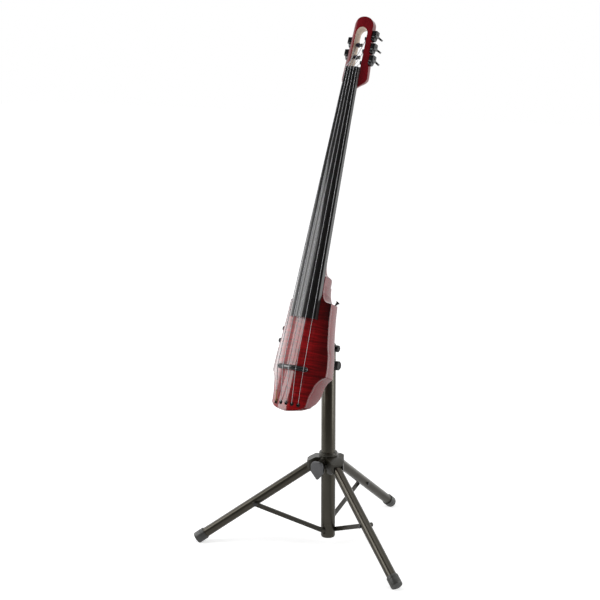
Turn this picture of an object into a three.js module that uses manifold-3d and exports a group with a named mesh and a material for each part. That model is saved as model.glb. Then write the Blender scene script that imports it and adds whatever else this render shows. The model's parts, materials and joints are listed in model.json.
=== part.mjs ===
import * as THREE from "three";
import { mergeVertices } from "three/addons/utils/BufferGeometryUtils.js";
import Module from "manifold-3d";

const wasm = await Module();
wasm.setup();

// Electric cello leaning back on a folding tripod stand, in millimetres, +Z up, the cello's front towards -Y.
// The cello is drawn in its own frame: w across (to the viewer's right), h out of its front, t up its neck.
// h is measured from the plane of the middle string, t from the bridge.

// Fits
const fitGap = 0.3;
const weldGap = 0.0001;
const cutReach = 60;

// Facet counts
const tubeSides = 20;
const pinSides = 10;
const wireSides = 6;
const loopSteps = 24;

// How the cello stands: its bridge lies in front of and a little below the tilt axis
const leanDegrees = 22.23;
const pivotHeight = 482;
const bridgeBack = -172.2;
const bridgeDrop = 8.1;
const bridgeHeight = pivotHeight - bridgeDrop;

// Strings, from the viewer's left to the right
const scaleLength = 698.5;
const stringRadii = [0.95, 0.85, 0.72, 0.6, 0.5];
const bridgeSpacing = 17;
const nutSpacing = 7;
const tailSpacing = 14.4;
const bridgeArchRadius = 80;
const boardArchRadius = 70;
const windingLoops = 2;
const windingGap = 0.65;

// Body outline, half widths from the neck's heel down to the tail
const bodyTipHalf = 32;
const bodyTip = 195;
const scoopPoints = [[32.8, 179], [34.6, 170.5], [38, 162.8], [42.9, 157.5], [48, 156.6], [52.4, 158.4]];
const flankPoints = [[54, 152], [56, 117], [62, 64], [68.5, 33], [70, -7.5]];
const waistPoints = [[61.2, -16], [56.3, -23.5], [52.6, -32], [50, -44], [46.4, -57.5], [44, -81]];
const tailPoints = [[36, -88], [26, -92.3], [15, -95], [5, -96.6]];

// Body section
const topCrown = -20;
const topArchRadius = 82;
const topThickness = 6;
const archMargin = 5;
const archHalf = flankPoints[flankPoints.length - 1][0] + archMargin;
const archSteps = 14;
const bodyDeep = -120;
const backAtCorner = -83.5;
const backCorner = -7;
const backSlopeShare = 0.0867;
const tailEnd = -98;
const tailEdgeDepth = -27;
const tailHeelEnd = -68;
const tailHeelDepth = -77;
const tailBackEnd = -55;
const tailBackDepth = -87.6;

// Neck and its heel
const tongueHalf = 22;
const tongueStart = 110;
const tongueFront = -31;
const tongueBack = -50;
const heelStart = 196.3;
const heelEnd = 214;
const heelHalf = 32;
const heelBack = -65.8;
const heelEdge = 5;
const neckStations = [[222, 26, -53], [236, 25.2, -48.5], [260, 24.6, -45], [305, 23.5, -37]];
const slimShares = [0.3839, 0.6935, 0.8793];
const slimSections = [[21.5, -33], [18.8, -29.5], [17.3, -27.4]];

// Head, its places measured on from the nut
const headStations = [[-41.5, 17.2, -28], [-35.5, 22, -31], [-27.5, 28.6, -35.5], [-17.5, 33, -39.5]];
const crestStations = [[4.5, 32, -40], [92.5, 24.8, -40], [111, 24.4, -40], [118, 23, -40]];
const apexStations = [[123.5, 19, -39.6], [127.5, 12.8, -39], [129.5, 6, -38.4]];
const faceCrown = -13.5;
const faceRadius = 45;
const slotHalf = 15;
const slotPastNut = 7.5;
const slotLength = 97;
const slotStart = scaleLength + slotPastNut;
const slotEnd = slotStart + slotLength;

// Fingerboard and nut
const boardStart = 115;
const boardStartHalf = 33.5;
const boardEndHalf = 17;
const boardStartCrown = -6;
const boardEndCrown = -2.9;
const boardStartBase = -26;
const boardEndBase = -14;
const nutLength = 5;
const nutSeatGap = 0.3;

// Bridge
const saddleTop = -1.3;
const saddleBase = -6.8;
const saddleHalfLength = 2.1;
const stripThickness = 1.3;
const stripHalf = 38.5;
const bridgeBaseTop = -8.7;
const bridgeBaseDepth = -14.6;
const bridgeHalf = 38;
const bridgeEndRadius = 3;
const bridgeHalfLength = 5.5;
const studAcross = 27;
const studRadius = 3;
const studWheelRadius = 4.5;
const studWheelThickness = 1.4;
const studDepth = 16;
const studReach = 3;

// String anchor in the tail
const tailHoleUp = -80;
const tailHoleRadius = 3.5;
const anchorHalf = 33;
const anchorHalfLength = 4;
const anchorTop = -29;
const anchorThickness = 4;
const anchorRoom = 1.2;
const anchorPocketStart = -85;
const anchorPocketEnd = -72;

// Controls
const knobUps = [90, 62];
const knobNames = ["volume_knob", "tone_knob"];
const knobDepth = -58;
const knobRadius = 5.5;
const knobLength = 10;
const knobStandoff = 1;
const knobShaftRadius = 3;
const knobShaftLength = 14;
const knobFlute = 0.7;
const cavityOuter = -50;
const cavityInner = -21.5;
const cavityStart = 45;
const cavityEnd = 107;
const cavityFloor = -50;
const coverMargin = 4;
const coverThickness = 2.4;

// Output jack and strap pin
const jackAcross = 33;
const jackUp = -77;
const jackRadius = 8;
const jackFlange = 2.6;
const jackBarrelRadius = 4.8;
const jackBarrelLength = 22;
const jackHoleRadius = 3.2;
const jackHoleDepth = 18;
const pinAcross = 49.5;
const pinUp = 157.2;
const pinDepth = -62;
const pinLeanShares = [0.42, -0.3, 0.86];
const pinShankRadius = 2;
const pinShankLength = 12;
const pinWaistRadius = 3;
const pinWaistLength = 5;
const pinHeadRadius = 5;
const pinHeadThickness = 2.4;

// Tuning machines, their posts measured on from the nut
const rightPosts = [23, 51.5, 81.5];
const leftPosts = [36, 65.5];
const postDepth = -30;
const postRadius = 3.6;
const postTipRight = 4.6;
const postTipLeft = 0;
const postTipRadius = 4.6;
const postTipLength = 1.3;
const windStartRight = 12;
const windStartLeft = -12;
const housingBelow = 8;
const housingNear = 1.5;
const housingFar = 17.5;
const housingProud = 11;
const housingFront = -22;
const housingBack = -38;
const wheelCoverProud = 7.6;
const wheelRadius = 6.2;
const wheelThickness = 3.6;
const wheelOut = 4;
const wheelRoom = 0.4;
const wormOffset = 9.2;
const wormRadius = 2.6;
const wormFront = -24.6;
const buttonShaftRadius = 2;
const buttonNeckDepth = -42.5;
const buttonWideDepth = -50;
const buttonEndDepth = -61;
const buttonHalf = 9.5;
const buttonWaist = 3;
const buttonShoulder = 3.5;
const buttonThickness = 4.6;
const buttonTurns = [-28, -36, -34, -30, -38];

// Mounting arm behind the body
const plateStart = 34;
const plateEnd = 106;
const plateHalf = 17;
const plateThickness = 5;
const armHalf = 6;
const armRootStart = 50;
const armRootEnd = 92;
const armEyeRadius = 11;
const screwUps = [42, 98];
const screwRadius = 2.5;
const screwHeadRadius = 5;
const screwHeadThickness = 3;
const screwLength = 22;

// Pole, upper tube and their knobs
const poleRadius = 16.9;
const poleBore = 14.6;
const poleBottom = 57;
const poleTopDrop = 27;
const poleTop = pivotHeight - poleTopDrop;
const innerRadius = 14.3;
const innerBore = 12.2;
const innerOverlap = 190;
const innerBottom = poleTop - innerOverlap;
const tiltHeadRise = 12;
const tiltHeadTop = pivotHeight + tiltHeadRise;
const tiltHeadChamfer = 4;
const forkHalf = 6.3;
const forkDrop = 15;
const forkFloor = pivotHeight - forkDrop;
const innerBoreShort = 6;
const innerBoreTop = poleTop - innerBoreShort;
const tiltBoltRadius = 4;
const tiltBoltEnd = -20.3;
const tiltNutRadius = 7;
const tiltNutFace = -17.5;
const tiltKnobRadius = 8.2;
const tiltKnobStart = 17.5;
const tiltKnobEnd = 27.5;
const tiltKnobLobes = 6;
const lockDrop = 13.5;
const lockHeight = poleTop - lockDrop;
const lockShaftRadius = 3;
const lockBossRadius = 6.5;
const lockBossEnd = 18.6;
const lockKnobStart = 19;
const lockKnobEnd = 28.6;
const lockKnobRadius = 10.8;
const lockKnobRidges = 16;
const knurlDepth = 0.8;

// Hub, its heights measured from its top
const hubTop = 221;
const hubHeight = 27;
const hubBottom = hubTop - hubHeight;
const hubCoreRadius = 24.2;
const hubBore = 17.25;
const legPivotOut = 33;
const legPivotDrop = 18.8;
const legPivotHeight = hubTop - legPivotDrop;
const lobeOut = 49.5;
const lobeHalf = 16.6;
const lobeSlotHalf = 11.9;
const lobeRoofThickness = 6.6;
const lobeRoof = hubTop - lobeRoofThickness;
const lobeSlopeStart = 30;
const lobeTipTop = hubTop - 10;
const lobeCeilingStart = 38;
const lobeTipCeiling = hubTop - 14.5;
const cheekHeight = 35;
const cheekBottom = hubTop - cheekHeight;
const cheekChamfer = 9;
const legPinRadius = 3;
const ringHeight = 10;
const ringTop = hubTop + ringHeight;
const ringRadius = 21.6;
const ringChamfer = 1.5;
const bossRadius = 9;
const bossOut = 33;
const bossDrop = 12;
const bossHeight = hubTop - bossDrop;
const wingShaftRadius = 4;
const wingInner = 17.8;
const wingOut = 46;
const wingThickness = 6;
const wingHalf = 17;
const wingShoulder = 10;
const wingTop = 9;
const wingSide = -17;
const wingTip = -36;
const wingCollarRadius = 8;
const wingCollarLength = 3;

// Legs
const legAngles = [90, 210, 330];
const legSlopeDegrees = 34.4;
const legLength = 340.9;
const legRadius = 11.6;
const legBore = 9.6;
const legEyeHalf = 11.5;
const legBoreStart = 60;
const legTubeShort = 6;
const capRadius = 13.9;
const capLength = 26;
const capRim = 1.2;
const footCut = 2.07;

// Struts
const strutOuter = 171;
const strutDrop = 4;
const strutInnerOut = 12;
const strutInnerHeight = 39;
const strutHalfHeight = 5.25;
const strutHalfThickness = 2.75;
const strutInside = legRadius + fitGap;
const strutOutside = strutInside + 2 * strutHalfThickness;
const strutPinRadius = 2;
const strutPinRoot = 5;
const strutPinHeadRadius = 3.5;
const strutPinHeadThickness = 1.4;
const boltRadius = 1.8;
const boltSlackAlong = 2.7;
const boltSlackAcross = 1.95;
const boltHeadRadius = 4.6;
const boltHeadInner = strutOutside + fitGap;
const boltNutInner = legRadius + fitGap;
const boltHeadThickness = 2.4;

// Pole foot
const footBottom = 20;
const footRimHeight = 3;
const footRimIn = 1.2;
const footSpigotTop = 71;
const footFlatIn = 6.2;
const footFlatHalf = 8.6;

// Looks
const paint = (color, roughness, metalness) =>
  new THREE.MeshStandardMaterial({ color, roughness, metalness });
const looks = {
  maple: paint(0x7a0c12, 0.2, 0),
  sides: paint(0x6c0d12, 0.25, 0),
  ebony: paint(0x15130f, 0.35, 0),
  plastic: paint(0x17171a, 0.4, 0),
  steel: paint(0xb9babc, 0.3, 1),
  chrome: paint(0xd8d9db, 0.12, 1),
  blackMetal: paint(0x1c1c1e, 0.4, 0.6),
  standPaint: paint(0x2b2a27, 0.5, 0.3),
  castPaint: paint(0x35342f, 0.6, 0.3),
  rubber: paint(0x141414, 0.9, 0),
  brass: paint(0xb08d57, 0.35, 1),
};

// Vectors of the cello's frame and of the stand's
const right = new THREE.Vector3(1, 0, 0);
const back = new THREE.Vector3(0, 1, 0);
const up = new THREE.Vector3(0, 0, 1);
const left = right.clone().negate();
const front = back.clone().negate();
const at = (w, h, t) => new THREE.Vector3(w, -h, t);

const radians = THREE.MathUtils.degToRad;

// A solid from a geometry: vertices welded, collapsed triangles left out
function solid(geometry) {
  const bare = geometry.clone();
  bare.deleteAttribute("normal");
  bare.deleteAttribute("uv");
  const merged = mergeVertices(bare, weldGap);
  const index = Array.from(merged.index.array);
  const kept = [];
  for (let i = 0; i < index.length; i += 3) {
    const [a, b, c] = index.slice(i, i + 3);
    if (a !== b && b !== c && c !== a) kept.push(a, b, c);
  }
  const vertProperties = Float32Array.from(merged.attributes.position.array);
  const triVerts = Uint32Array.from(kept);
  return new wasm.Manifold(new wasm.Mesh({ numProp: 3, vertProperties, triVerts }));
}

// A round bar from one point to another
function rod(from, to, radius, sides = tubeSides, endRadius = radius) {
  const axis = to.clone().sub(from);
  const length = axis.length();
  const shape = new THREE.CylinderGeometry(endRadius, radius, length, sides);
  shape.translate(0, length / 2, 0);
  shape.applyQuaternion(new THREE.Quaternion().setFromUnitVectors(back, axis.normalize()));
  shape.translate(from.x, from.y, from.z);
  return solid(shape);
}

// A turned body about the upward axis, from a profile of radii and heights that starts and ends on the axis
function turned(profile, sides = tubeSides) {
  const outline = profile.map(([radius, height]) => new THREE.Vector2(radius, height));
  const shape = new THREE.LatheGeometry(outline, sides);
  shape.rotateX(Math.PI / 2);
  return solid(shape);
}

// A flat outline drawn on the x and y directions and drawn out between two distances along their normal
function prism(points, x, y, from, to, origin = new THREE.Vector3()) {
  const outline = new THREE.Shape(points.map(([a, b]) => new THREE.Vector2(a, b)));
  const shape = new THREE.ExtrudeGeometry(outline, { depth: to - from, bevelEnabled: false });
  shape.translate(0, 0, from);
  const basis = new THREE.Matrix4().makeBasis(x, y, x.clone().cross(y));
  shape.applyMatrix4(basis);
  shape.translate(origin.x, origin.y, origin.z);
  return solid(shape);
}

// A rectangular block between two corners
function block(a, b) {
  const size = b.clone().sub(a);
  const shape = new THREE.BoxGeometry(Math.abs(size.x), Math.abs(size.y), Math.abs(size.z));
  const middle = a.clone().add(b).multiplyScalar(1 / 2);
  shape.translate(middle.x, middle.y, middle.z);
  return solid(shape);
}

// A closed skin through rings of points, each ring running the same way round the upward direction
function loft(rings) {
  const count = rings[0].length;
  const points = rings.flat();
  const faces = [];
  for (let r = 0; r + 1 < rings.length; r++) {
    for (let i = 0; i < count; i++) {
      const a = r * count + i;
      const b = r * count + ((i + 1) % count);
      faces.push(a, b, b + count, a, b + count, a + count);
    }
  }
  for (const [ring, turn] of [[0, -1], [rings.length - 1, 1]]) {
    const middle = rings[ring].reduce((sum, p) => sum.add(p), new THREE.Vector3()).divideScalar(count);
    const centre = points.push(middle) - 1;
    for (let i = 0; i < count; i++) {
      const a = ring * count + i;
      const b = ring * count + ((i + 1) % count);
      faces.push(centre, turn > 0 ? a : b, turn > 0 ? b : a);
    }
  }
  const shape = new THREE.BufferGeometry().setFromPoints(points);
  shape.setIndex(faces);
  return solid(shape);
}

const join = (...solids) => solids.reduce((sum, next) => sum.add(next));
const cut = (from, ...tools) => tools.reduce((rest, tool) => rest.subtract(tool), from);
const placed = (body, matrix) => body.transform(matrix.elements);

// Between two stations of a table
function between(table, t) {
  const next = table.findIndex(([station]) => station >= t);
  if (next <= 0) return table[next === 0 ? 0 : table.length - 1].slice(1);
  const [t0, ...a] = table[next - 1];
  const [t1, ...b] = table[next];
  return a.map((value, i) => value + ((b[i] - value) * (t - t0)) / (t1 - t0));
}

// The two frames
const celloFrame = new THREE.Matrix4().makeRotationX(-radians(leanDegrees));
celloFrame.setPosition(0, bridgeBack, bridgeHeight);
const standFrame = new THREE.Matrix4();
const legFrame = (degrees) => new THREE.Matrix4().makeRotationZ(radians(degrees));

const group = new THREE.Group();
group.name = "electric_cello_on_stand";

function piece(name, body, look, frame = standFrame) {
  const { vertProperties, triVerts } = placed(body, frame).getMesh();
  const shape = new THREE.BufferGeometry();
  shape.setAttribute("position", new THREE.BufferAttribute(Float32Array.from(vertProperties), 3));
  shape.setIndex(Array.from(triVerts));
  const flat = shape.toNonIndexed();
  flat.computeVertexNormals();
  const mesh = new THREE.Mesh(flat, look);
  mesh.name = name;
  group.add(mesh);
}

// Body: the outline, the arched front, and the side profile
const topHeight = (w) => topCrown - (w * w) / (2 * topArchRadius);
const backHeight = (t) => backAtCorner + backSlopeShare * (t - backCorner);
const rightOutline = [[bodyTipHalf, bodyTip], ...scoopPoints, ...flankPoints, ...waistPoints, ...tailPoints];
const leftOutline = rightOutline.map(([w, t]) => [-w, t]).reverse();
const outline = [...rightOutline, ...leftOutline].reverse();

function underArch(drop, from, to) {
  const arch = [];
  for (let i = 0; i <= archSteps; i++) {
    const w = archHalf - (2 * archHalf * i) / archSteps;
    arch.push([w, topHeight(w) - drop]);
  }
  return prism([[-archHalf, bodyDeep], [archHalf, bodyDeep], ...arch], left, front, from, to);
}

const slab = prism(outline, right, up, bodyDeep, 0);
const sideProfile = [
  [tailEnd, 0],
  [tailEnd, tailEdgeDepth],
  [tailHeelEnd, tailHeelDepth],
  [tailBackEnd, tailBackDepth],
  [bodyTip + fitGap, backHeight(bodyTip)],
  [bodyTip + fitGap, 0],
];
const sideSlab = prism([...sideProfile].reverse(), up, front, -archHalf, archHalf);
const wholeBody = slab.intersect(sideSlab);

const stringCount = stringRadii.length;
const place = (i, spacing) => (i - (stringCount - 1) / 2) * spacing;

// Top plate with its string holes and the holes of the bridge studs
const stud = (w, radius, sides) =>
  rod(at(w, topHeight(w) - studDepth, 0), at(w, bridgeBaseDepth, 0), radius, sides);
let topPlate = wholeBody.intersect(underArch(0, tailEnd, bodyTip + fitGap));
topPlate = cut(topPlate, underArch(topThickness, tailEnd - fitGap, bodyTip + 2 * fitGap));
for (let i = 0; i < stringCount; i++) {
  const w = place(i, tailSpacing);
  const hole = rod(at(w, bodyDeep, tailHoleUp), at(w, 0, tailHoleUp), tailHoleRadius, pinSides);
  topPlate = cut(topPlate, hole);
}
for (const w of [-studAcross, studAcross]) topPlate = cut(topPlate, stud(w, studRadius + fitGap, pinSides));
piece("top_plate", topPlate, looks.maple, celloFrame);

// A bar that follows the arch of the top across the body
function archedBar(top, depth, half, from, to, radius = topArchRadius) {
  const rim = [];
  for (let i = 0; i <= archSteps; i++) {
    const w = half - (2 * half * i) / archSteps;
    rim.push([w, top - (w * w) / (2 * radius)]);
  }
  const floor = rim.map(([w, h]) => [w, h - depth]).reverse();
  return prism([...rim, ...floor], right, front, -to, -from);
}

// Body core with the pockets for the neck, the anchor and the controls, and the bores
const flankHalf = (t) => between([...flankPoints].map(([w, u]) => [u, w]).reverse(), t)[0];
const pocketEnd = bodyTip + cutReach;
const anchorFloor = anchorTop - anchorThickness - anchorRoom;
let core = wholeBody.intersect(underArch(topThickness + fitGap, tailEnd, bodyTip + fitGap));
core = cut(
  core,
  block(
    at(-tongueHalf - fitGap, 0, tongueStart - fitGap),
    at(tongueHalf + fitGap, tongueBack - fitGap, pocketEnd),
  ),
  archedBar(0, -anchorFloor, anchorHalf + anchorRoom, anchorPocketStart, anchorPocketEnd),
  block(at(cavityOuter, bodyDeep, cavityStart), at(cavityInner, cavityFloor, cavityEnd)),
);
const coverOuter = cavityOuter - coverMargin;
const coverInner = cavityInner + coverMargin;
const coverStart = cavityStart - coverMargin;
const coverEnd = cavityEnd + coverMargin;

// A slice along the back, between two depths under its surface
function backSlice(from, to, start, end, west, east) {
  const profile = [
    [start, backHeight(start) + from],
    [start, backHeight(start) + to],
    [end, backHeight(end) + to],
    [end, backHeight(end) + from],
  ];
  return prism(profile, up, front, west, east);
}
const recess = backSlice(-cutReach, coverThickness + fitGap, coverStart, coverEnd, coverOuter, coverInner);
core = cut(core, recess);
for (const w of [-studAcross, studAcross]) core = cut(core, stud(w, studRadius + fitGap, pinSides));
for (const t of knobUps) {
  const shaftRoom = rod(
    at(-archHalf, knobDepth, t),
    at(cavityInner - fitGap, knobDepth, t),
    knobShaftRadius + fitGap,
    pinSides,
  );
  core = cut(core, shaftRoom);
}
const screwBore = (t) =>
  rod(at(0, bodyDeep, t), at(0, backHeight(t) + screwLength, t), screwRadius + fitGap, pinSides);
for (const t of screwUps) core = cut(core, screwBore(t));

// The tail's sloping end carries the output jack
const tailRun = new THREE.Vector2(tailHeelEnd - tailEnd, tailHeelDepth - tailEdgeDepth).normalize();
const jackOut = at(0, -tailRun.x, tailRun.y);
const jackFace = (tailEdgeDepth - tailHeelDepth) / (tailHeelEnd - tailEnd);
const jackFoot = at(jackAcross, tailEdgeDepth - jackFace * (jackUp - tailEnd), jackUp);
const alongJack = (distance) => jackFoot.clone().addScaledVector(jackOut, distance);
const jackBore = rod(
  alongJack(-jackBarrelLength - fitGap),
  alongJack(jackFlange),
  jackBarrelRadius + fitGap,
  pinSides,
);
core = cut(core, jackBore);
const jackFlangeBody = rod(alongJack(fitGap), alongJack(fitGap + jackFlange), jackRadius);
const jackBarrel = rod(
  alongJack(-jackBarrelLength),
  alongJack(fitGap + jackFlange / 2),
  jackBarrelRadius,
  pinSides,
);
const jackHole = rod(alongJack(-jackHoleDepth), alongJack(jackFlange + 2 * fitGap), jackHoleRadius, pinSides);
piece("output_jack", cut(join(jackFlangeBody, jackBarrel), jackHole), looks.chrome, celloFrame);

// Strap pin on the shoulder
const pinDirection = at(...pinLeanShares).normalize();
const pinFoot = at(pinAcross, pinDepth, pinUp);
const alongPin = (distance) => pinFoot.clone().addScaledVector(pinDirection, distance);
const pinBore = rod(
  alongPin(-pinShankLength - fitGap),
  alongPin(pinWaistLength),
  pinShankRadius + fitGap,
  pinSides,
);
core = cut(core, pinBore);
const pinShank = rod(alongPin(-pinShankLength), alongPin(pinWaistLength), pinShankRadius, pinSides);
const pinWaist = rod(
  alongPin(pinWaistRadius),
  alongPin(pinWaistRadius + pinWaistLength),
  pinWaistRadius,
  pinSides,
);
const pinHead = rod(
  alongPin(pinWaistRadius + pinWaistLength - fitGap),
  alongPin(pinWaistRadius + pinWaistLength + pinHeadThickness),
  pinHeadRadius,
  tubeSides,
);
piece("strap_pin", join(pinShank, pinWaist, pinHead), looks.chrome, celloFrame);
piece("body_core", core, looks.sides, celloFrame);

const cover = backSlice(
  0,
  coverThickness,
  coverStart + fitGap,
  coverEnd - fitGap,
  coverOuter + fitGap,
  coverInner - fitGap,
);
piece("control_cover", cover, looks.plastic, celloFrame);

// Volume and tone knobs on the left flank, fluted, their shafts reaching into the cavity
for (const [i, t] of knobUps.entries()) {
  const inner = -flankHalf(t - knobRadius) - knobStandoff;
  const profile = [];
  for (let k = 0; k < tubeSides; k++) {
    const angle = (2 * Math.PI * k) / tubeSides;
    const radius = knobRadius - (k % 2) * knobFlute;
    profile.push([radius * Math.cos(angle), radius * Math.sin(angle)]);
  }
  const cap = prism(profile, front, up, -inner, -inner + knobLength, at(0, knobDepth, t));
  const shaft = rod(
    at(inner - knobLength / 2, knobDepth, t),
    at(cavityOuter + knobShaftLength, knobDepth, t),
    knobShaftRadius,
    pinSides,
  );
  piece(knobNames[i], join(cap, shaft), looks.blackMetal, celloFrame);
}

// Fingerboard, nut and neck share these heights
const boardShare = (t) => (t - boardStart) / (scaleLength - boardStart);
const boardHalf = (t) => boardStartHalf + (boardEndHalf - boardStartHalf) * boardShare(t);
const boardCrown = (t) => boardStartCrown + (boardEndCrown - boardStartCrown) * boardShare(t);
const boardBase = (t) => boardStartBase + (boardEndBase - boardStartBase) * boardShare(t);
const crownSteps = 8;

function boardRing(t) {
  const half = boardHalf(t);
  const ring = [at(half, boardBase(t), t), at(-half, boardBase(t), t)];
  for (let i = 0; i <= crownSteps; i++) {
    const w = -half + (2 * half * i) / crownSteps;
    ring.push(at(w, boardCrown(t) - (w * w) / (2 * boardArchRadius), t));
  }
  return ring;
}
const boardEnd = scaleLength - fitGap;
const board = loft([boardRing(boardStart), boardRing(boardEnd)]);
const underBoard = underArch(-fitGap, boardStart - fitGap, bodyTip + fitGap);
piece("fingerboard", cut(board, underBoard), looks.ebony, celloFrame);

// Nut
const nutCrown = -stringRadii[0] - fitGap;
const nutStart = scaleLength;
const nutEnd = scaleLength + nutLength;
const nutRise = -boardBase(boardEnd) + nutCrown - nutSeatGap;
const nutBar = archedBar(nutCrown, nutRise, boardEndHalf, nutStart, nutEnd, boardArchRadius);
const nutSeat = block(
  at(-archHalf, bodyDeep, nutStart - fitGap),
  at(archHalf, boardEndBase + nutSeatGap, nutEnd + fitGap),
);
piece("nut", cut(nutBar, nutSeat), looks.plastic, celloFrame);

// Neck with heel, tongue and slotted head, lofted through rings that run right, back, left, front
const faceSteps = 6;
const backSteps = 8;
const neckTop = (t) => boardBase(t) - fitGap;
const faceHeight = (w) => faceCrown - (w * w) / (2 * faceRadius);

function neckRing(t, half, depth, square, front) {
  const ring = [];
  const edge = front(half, t);
  for (let i = 0; i <= backSteps; i++) {
    const angle = (Math.PI * i) / backSteps;
    const side = Math.cos(angle);
    const across = half * Math.sign(side) * Math.abs(side) ** square;
    ring.push(at(across, edge + (depth - edge) * Math.sin(angle) ** square, t));
  }
  for (let i = 1; i < faceSteps; i++) {
    const w = -half + (2 * half * i) / faceSteps;
    ring.push(at(w, front(w, t), t));
  }
  return ring;
}
const flatFront = (w, t) => neckTop(t);
const headFront = (w, t) => Math.min(faceHeight(w), t < nutEnd ? neckTop(Math.min(t, boardEnd)) : 0);
const heelFront = (w, t) => neckTop(t) - heelEdge * (Math.abs(w) / heelHalf) ** 4;
const rings = [
  neckRing(heelStart, heelHalf, heelBack, 0.3, heelFront),
  neckRing(heelEnd, heelHalf, heelBack, 0.3, heelFront),
];
for (const [i, [t, half, depth]] of neckStations.entries()) {
  rings.push(neckRing(t, half, depth, 0.5 + i / 8, flatFront));
}
for (const [i, [half, depth]] of slimSections.entries()) {
  const t = heelEnd + slimShares[i] * (scaleLength - heelEnd);
  rings.push(neckRing(t, half, depth, 1, flatFront));
}
for (const [i, [past, half, depth]] of headStations.entries()) {
  rings.push(neckRing(scaleLength + past, half, depth, 0.9 - i / 5, headFront));
}
for (const [past, half, depth] of [...crestStations, ...apexStations]) {
  rings.push(neckRing(scaleLength + past, half, depth, 0.3, headFront));
}
const nutFloor = boardBase(boardEnd) - fitGap;
const nutLedge = block(
  at(-boardEndHalf - fitGap, nutFloor, scaleLength - fitGap),
  at(boardEndHalf + fitGap, 0, nutEnd + fitGap),
);

// The slot runs through the head and has a round upper end
const slotRound = slotEnd - slotHalf;
const slotOutline = [[-slotHalf, slotStart], [slotHalf, slotStart]];
for (let i = 0; i <= pinSides; i++) {
  const angle = (Math.PI * i) / pinSides;
  slotOutline.push([slotHalf * Math.cos(angle), slotRound + slotHalf * Math.sin(angle)]);
}
const slot = prism(slotOutline, right, up, bodyDeep, 0);
const tongue = block(
  at(-tongueHalf, tongueFront, tongueStart),
  at(tongueHalf, tongueBack, heelStart + fitGap),
);
let neck = cut(join(loft(rings), tongue), nutLedge, slot);

// Each tuning machine: its post's height up the neck, its side, and the width its seat is cut to
const headTable = [...headStations, ...crestStations].map(([past, half]) => [scaleLength + past, half]);
const seatAt = (t) => between(headTable, t + housingFar)[0] - fitGap;
function machine(past, side, start, tip) {
  const t = scaleLength + past;
  return { t, side, start, tip, seat: seatAt(t) };
}
const machines = [
  machine(leftPosts[0], -1, windStartLeft, postTipLeft),
  machine(leftPosts[1], -1, windStartLeft, postTipLeft),
  machine(rightPosts[2], 1, windStartRight, postTipRight),
  machine(rightPosts[1], 1, windStartRight, postTipRight),
  machine(rightPosts[0], 1, windStartRight, postTipRight),
];
const pivots = {};
for (const [i, { t, side, start, tip, seat }] of machines.entries()) {
  const out = (distance) => side * (seat + fitGap + distance);
  const seatCut = block(
    at(side * seat, bodyDeep, t - housingBelow - fitGap),
    at(side * archHalf, 0, t + housingFar + fitGap),
  );
  const bore = rod(at(0, postDepth, t), at(out(fitGap), postDepth, t), postRadius + fitGap, pinSides);
  neck = cut(neck, seatCut, bore);

  // Housing: a worm box and a round wheel cover, open towards the head
  const box = block(
    at(out(0), housingBack, t + housingNear),
    at(out(housingProud), housingFront, t + housingFar),
  );
  const wheelCover = rod(at(out(0), postDepth, t), at(out(wheelCoverProud), postDepth, t), housingBelow);
  const wheelRoomReach = wheelOut + wheelThickness / 2 + wheelRoom;
  const wheelCave = rod(
    at(out(-fitGap), postDepth, t),
    at(out(wheelRoomReach), postDepth, t),
    wheelRadius + wheelRoom,
  );
  const wormUp = t + wormOffset;
  const wormCave = rod(
    at(out(wheelOut), wormFront + fitGap, wormUp),
    at(out(wheelOut), housingBack - fitGap, wormUp),
    wormRadius + fitGap,
    pinSides,
  );
  const housing = cut(join(box, wheelCover), wheelCave, wormCave);
  piece(`tuner_housing_${i + 1}`, housing, looks.blackMetal, celloFrame);

  // Post with its worm wheel and tip
  const postBar = rod(at(tip, postDepth, t), at(out(wheelOut), postDepth, t), postRadius, pinSides);
  const wheel = rod(
    at(out(wheelOut - wheelThickness / 2), postDepth, t),
    at(out(wheelOut + wheelThickness / 2), postDepth, t),
    wheelRadius,
  );
  const tipRing = rod(
    at(tip, postDepth, t),
    at(tip + side * postTipLength, postDepth, t),
    postTipRadius,
    pinSides,
  );
  piece(`string_post_${i + 1}`, join(postBar, wheel, tipRing), looks.blackMetal, celloFrame);

  // Button with its shaft and worm
  const worm = rod(
    at(out(wheelOut), wormFront, wormUp),
    at(out(wheelOut), housingBack + fitGap, wormUp),
    wormRadius,
    pinSides,
  );
  const shaft = rod(
    at(out(wheelOut), housingBack + wormRadius, wormUp),
    at(out(wheelOut), buttonWideDepth, wormUp),
    buttonShaftRadius,
    pinSides,
  );
  const turn = radians(buttonTurns[i]);
  const wide = at(side * Math.cos(turn), 0, Math.sin(turn));
  const leaf = [
    [-buttonWaist, buttonNeckDepth],
    [buttonWaist, buttonNeckDepth],
    [buttonHalf - buttonShoulder, buttonWideDepth + buttonShoulder],
    [buttonHalf, buttonWideDepth],
    [buttonHalf, buttonEndDepth + buttonShoulder],
    [buttonHalf - buttonShoulder, buttonEndDepth],
    [-buttonHalf + buttonShoulder, buttonEndDepth],
    [-buttonHalf, buttonEndDepth + buttonShoulder],
    [-buttonHalf, buttonWideDepth],
    [-buttonHalf + buttonShoulder, buttonWideDepth + buttonShoulder],
  ];
  const half = buttonThickness / 2;
  const blade = prism(leaf, wide, front, -half, half, at(out(wheelOut), 0, wormUp));
  piece(`tuner_button_${i + 1}`, join(worm, shaft, blade), looks.blackMetal, celloFrame);
  pivots[`string_post_${i + 1}`] = at(out(0), postDepth, t).applyMatrix4(celloFrame);
  pivots[`tuner_button_${i + 1}`] = at(out(wheelOut), buttonNeckDepth, wormUp).applyMatrix4(celloFrame);
}
piece("neck", neck, looks.sides, celloFrame);

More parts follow.
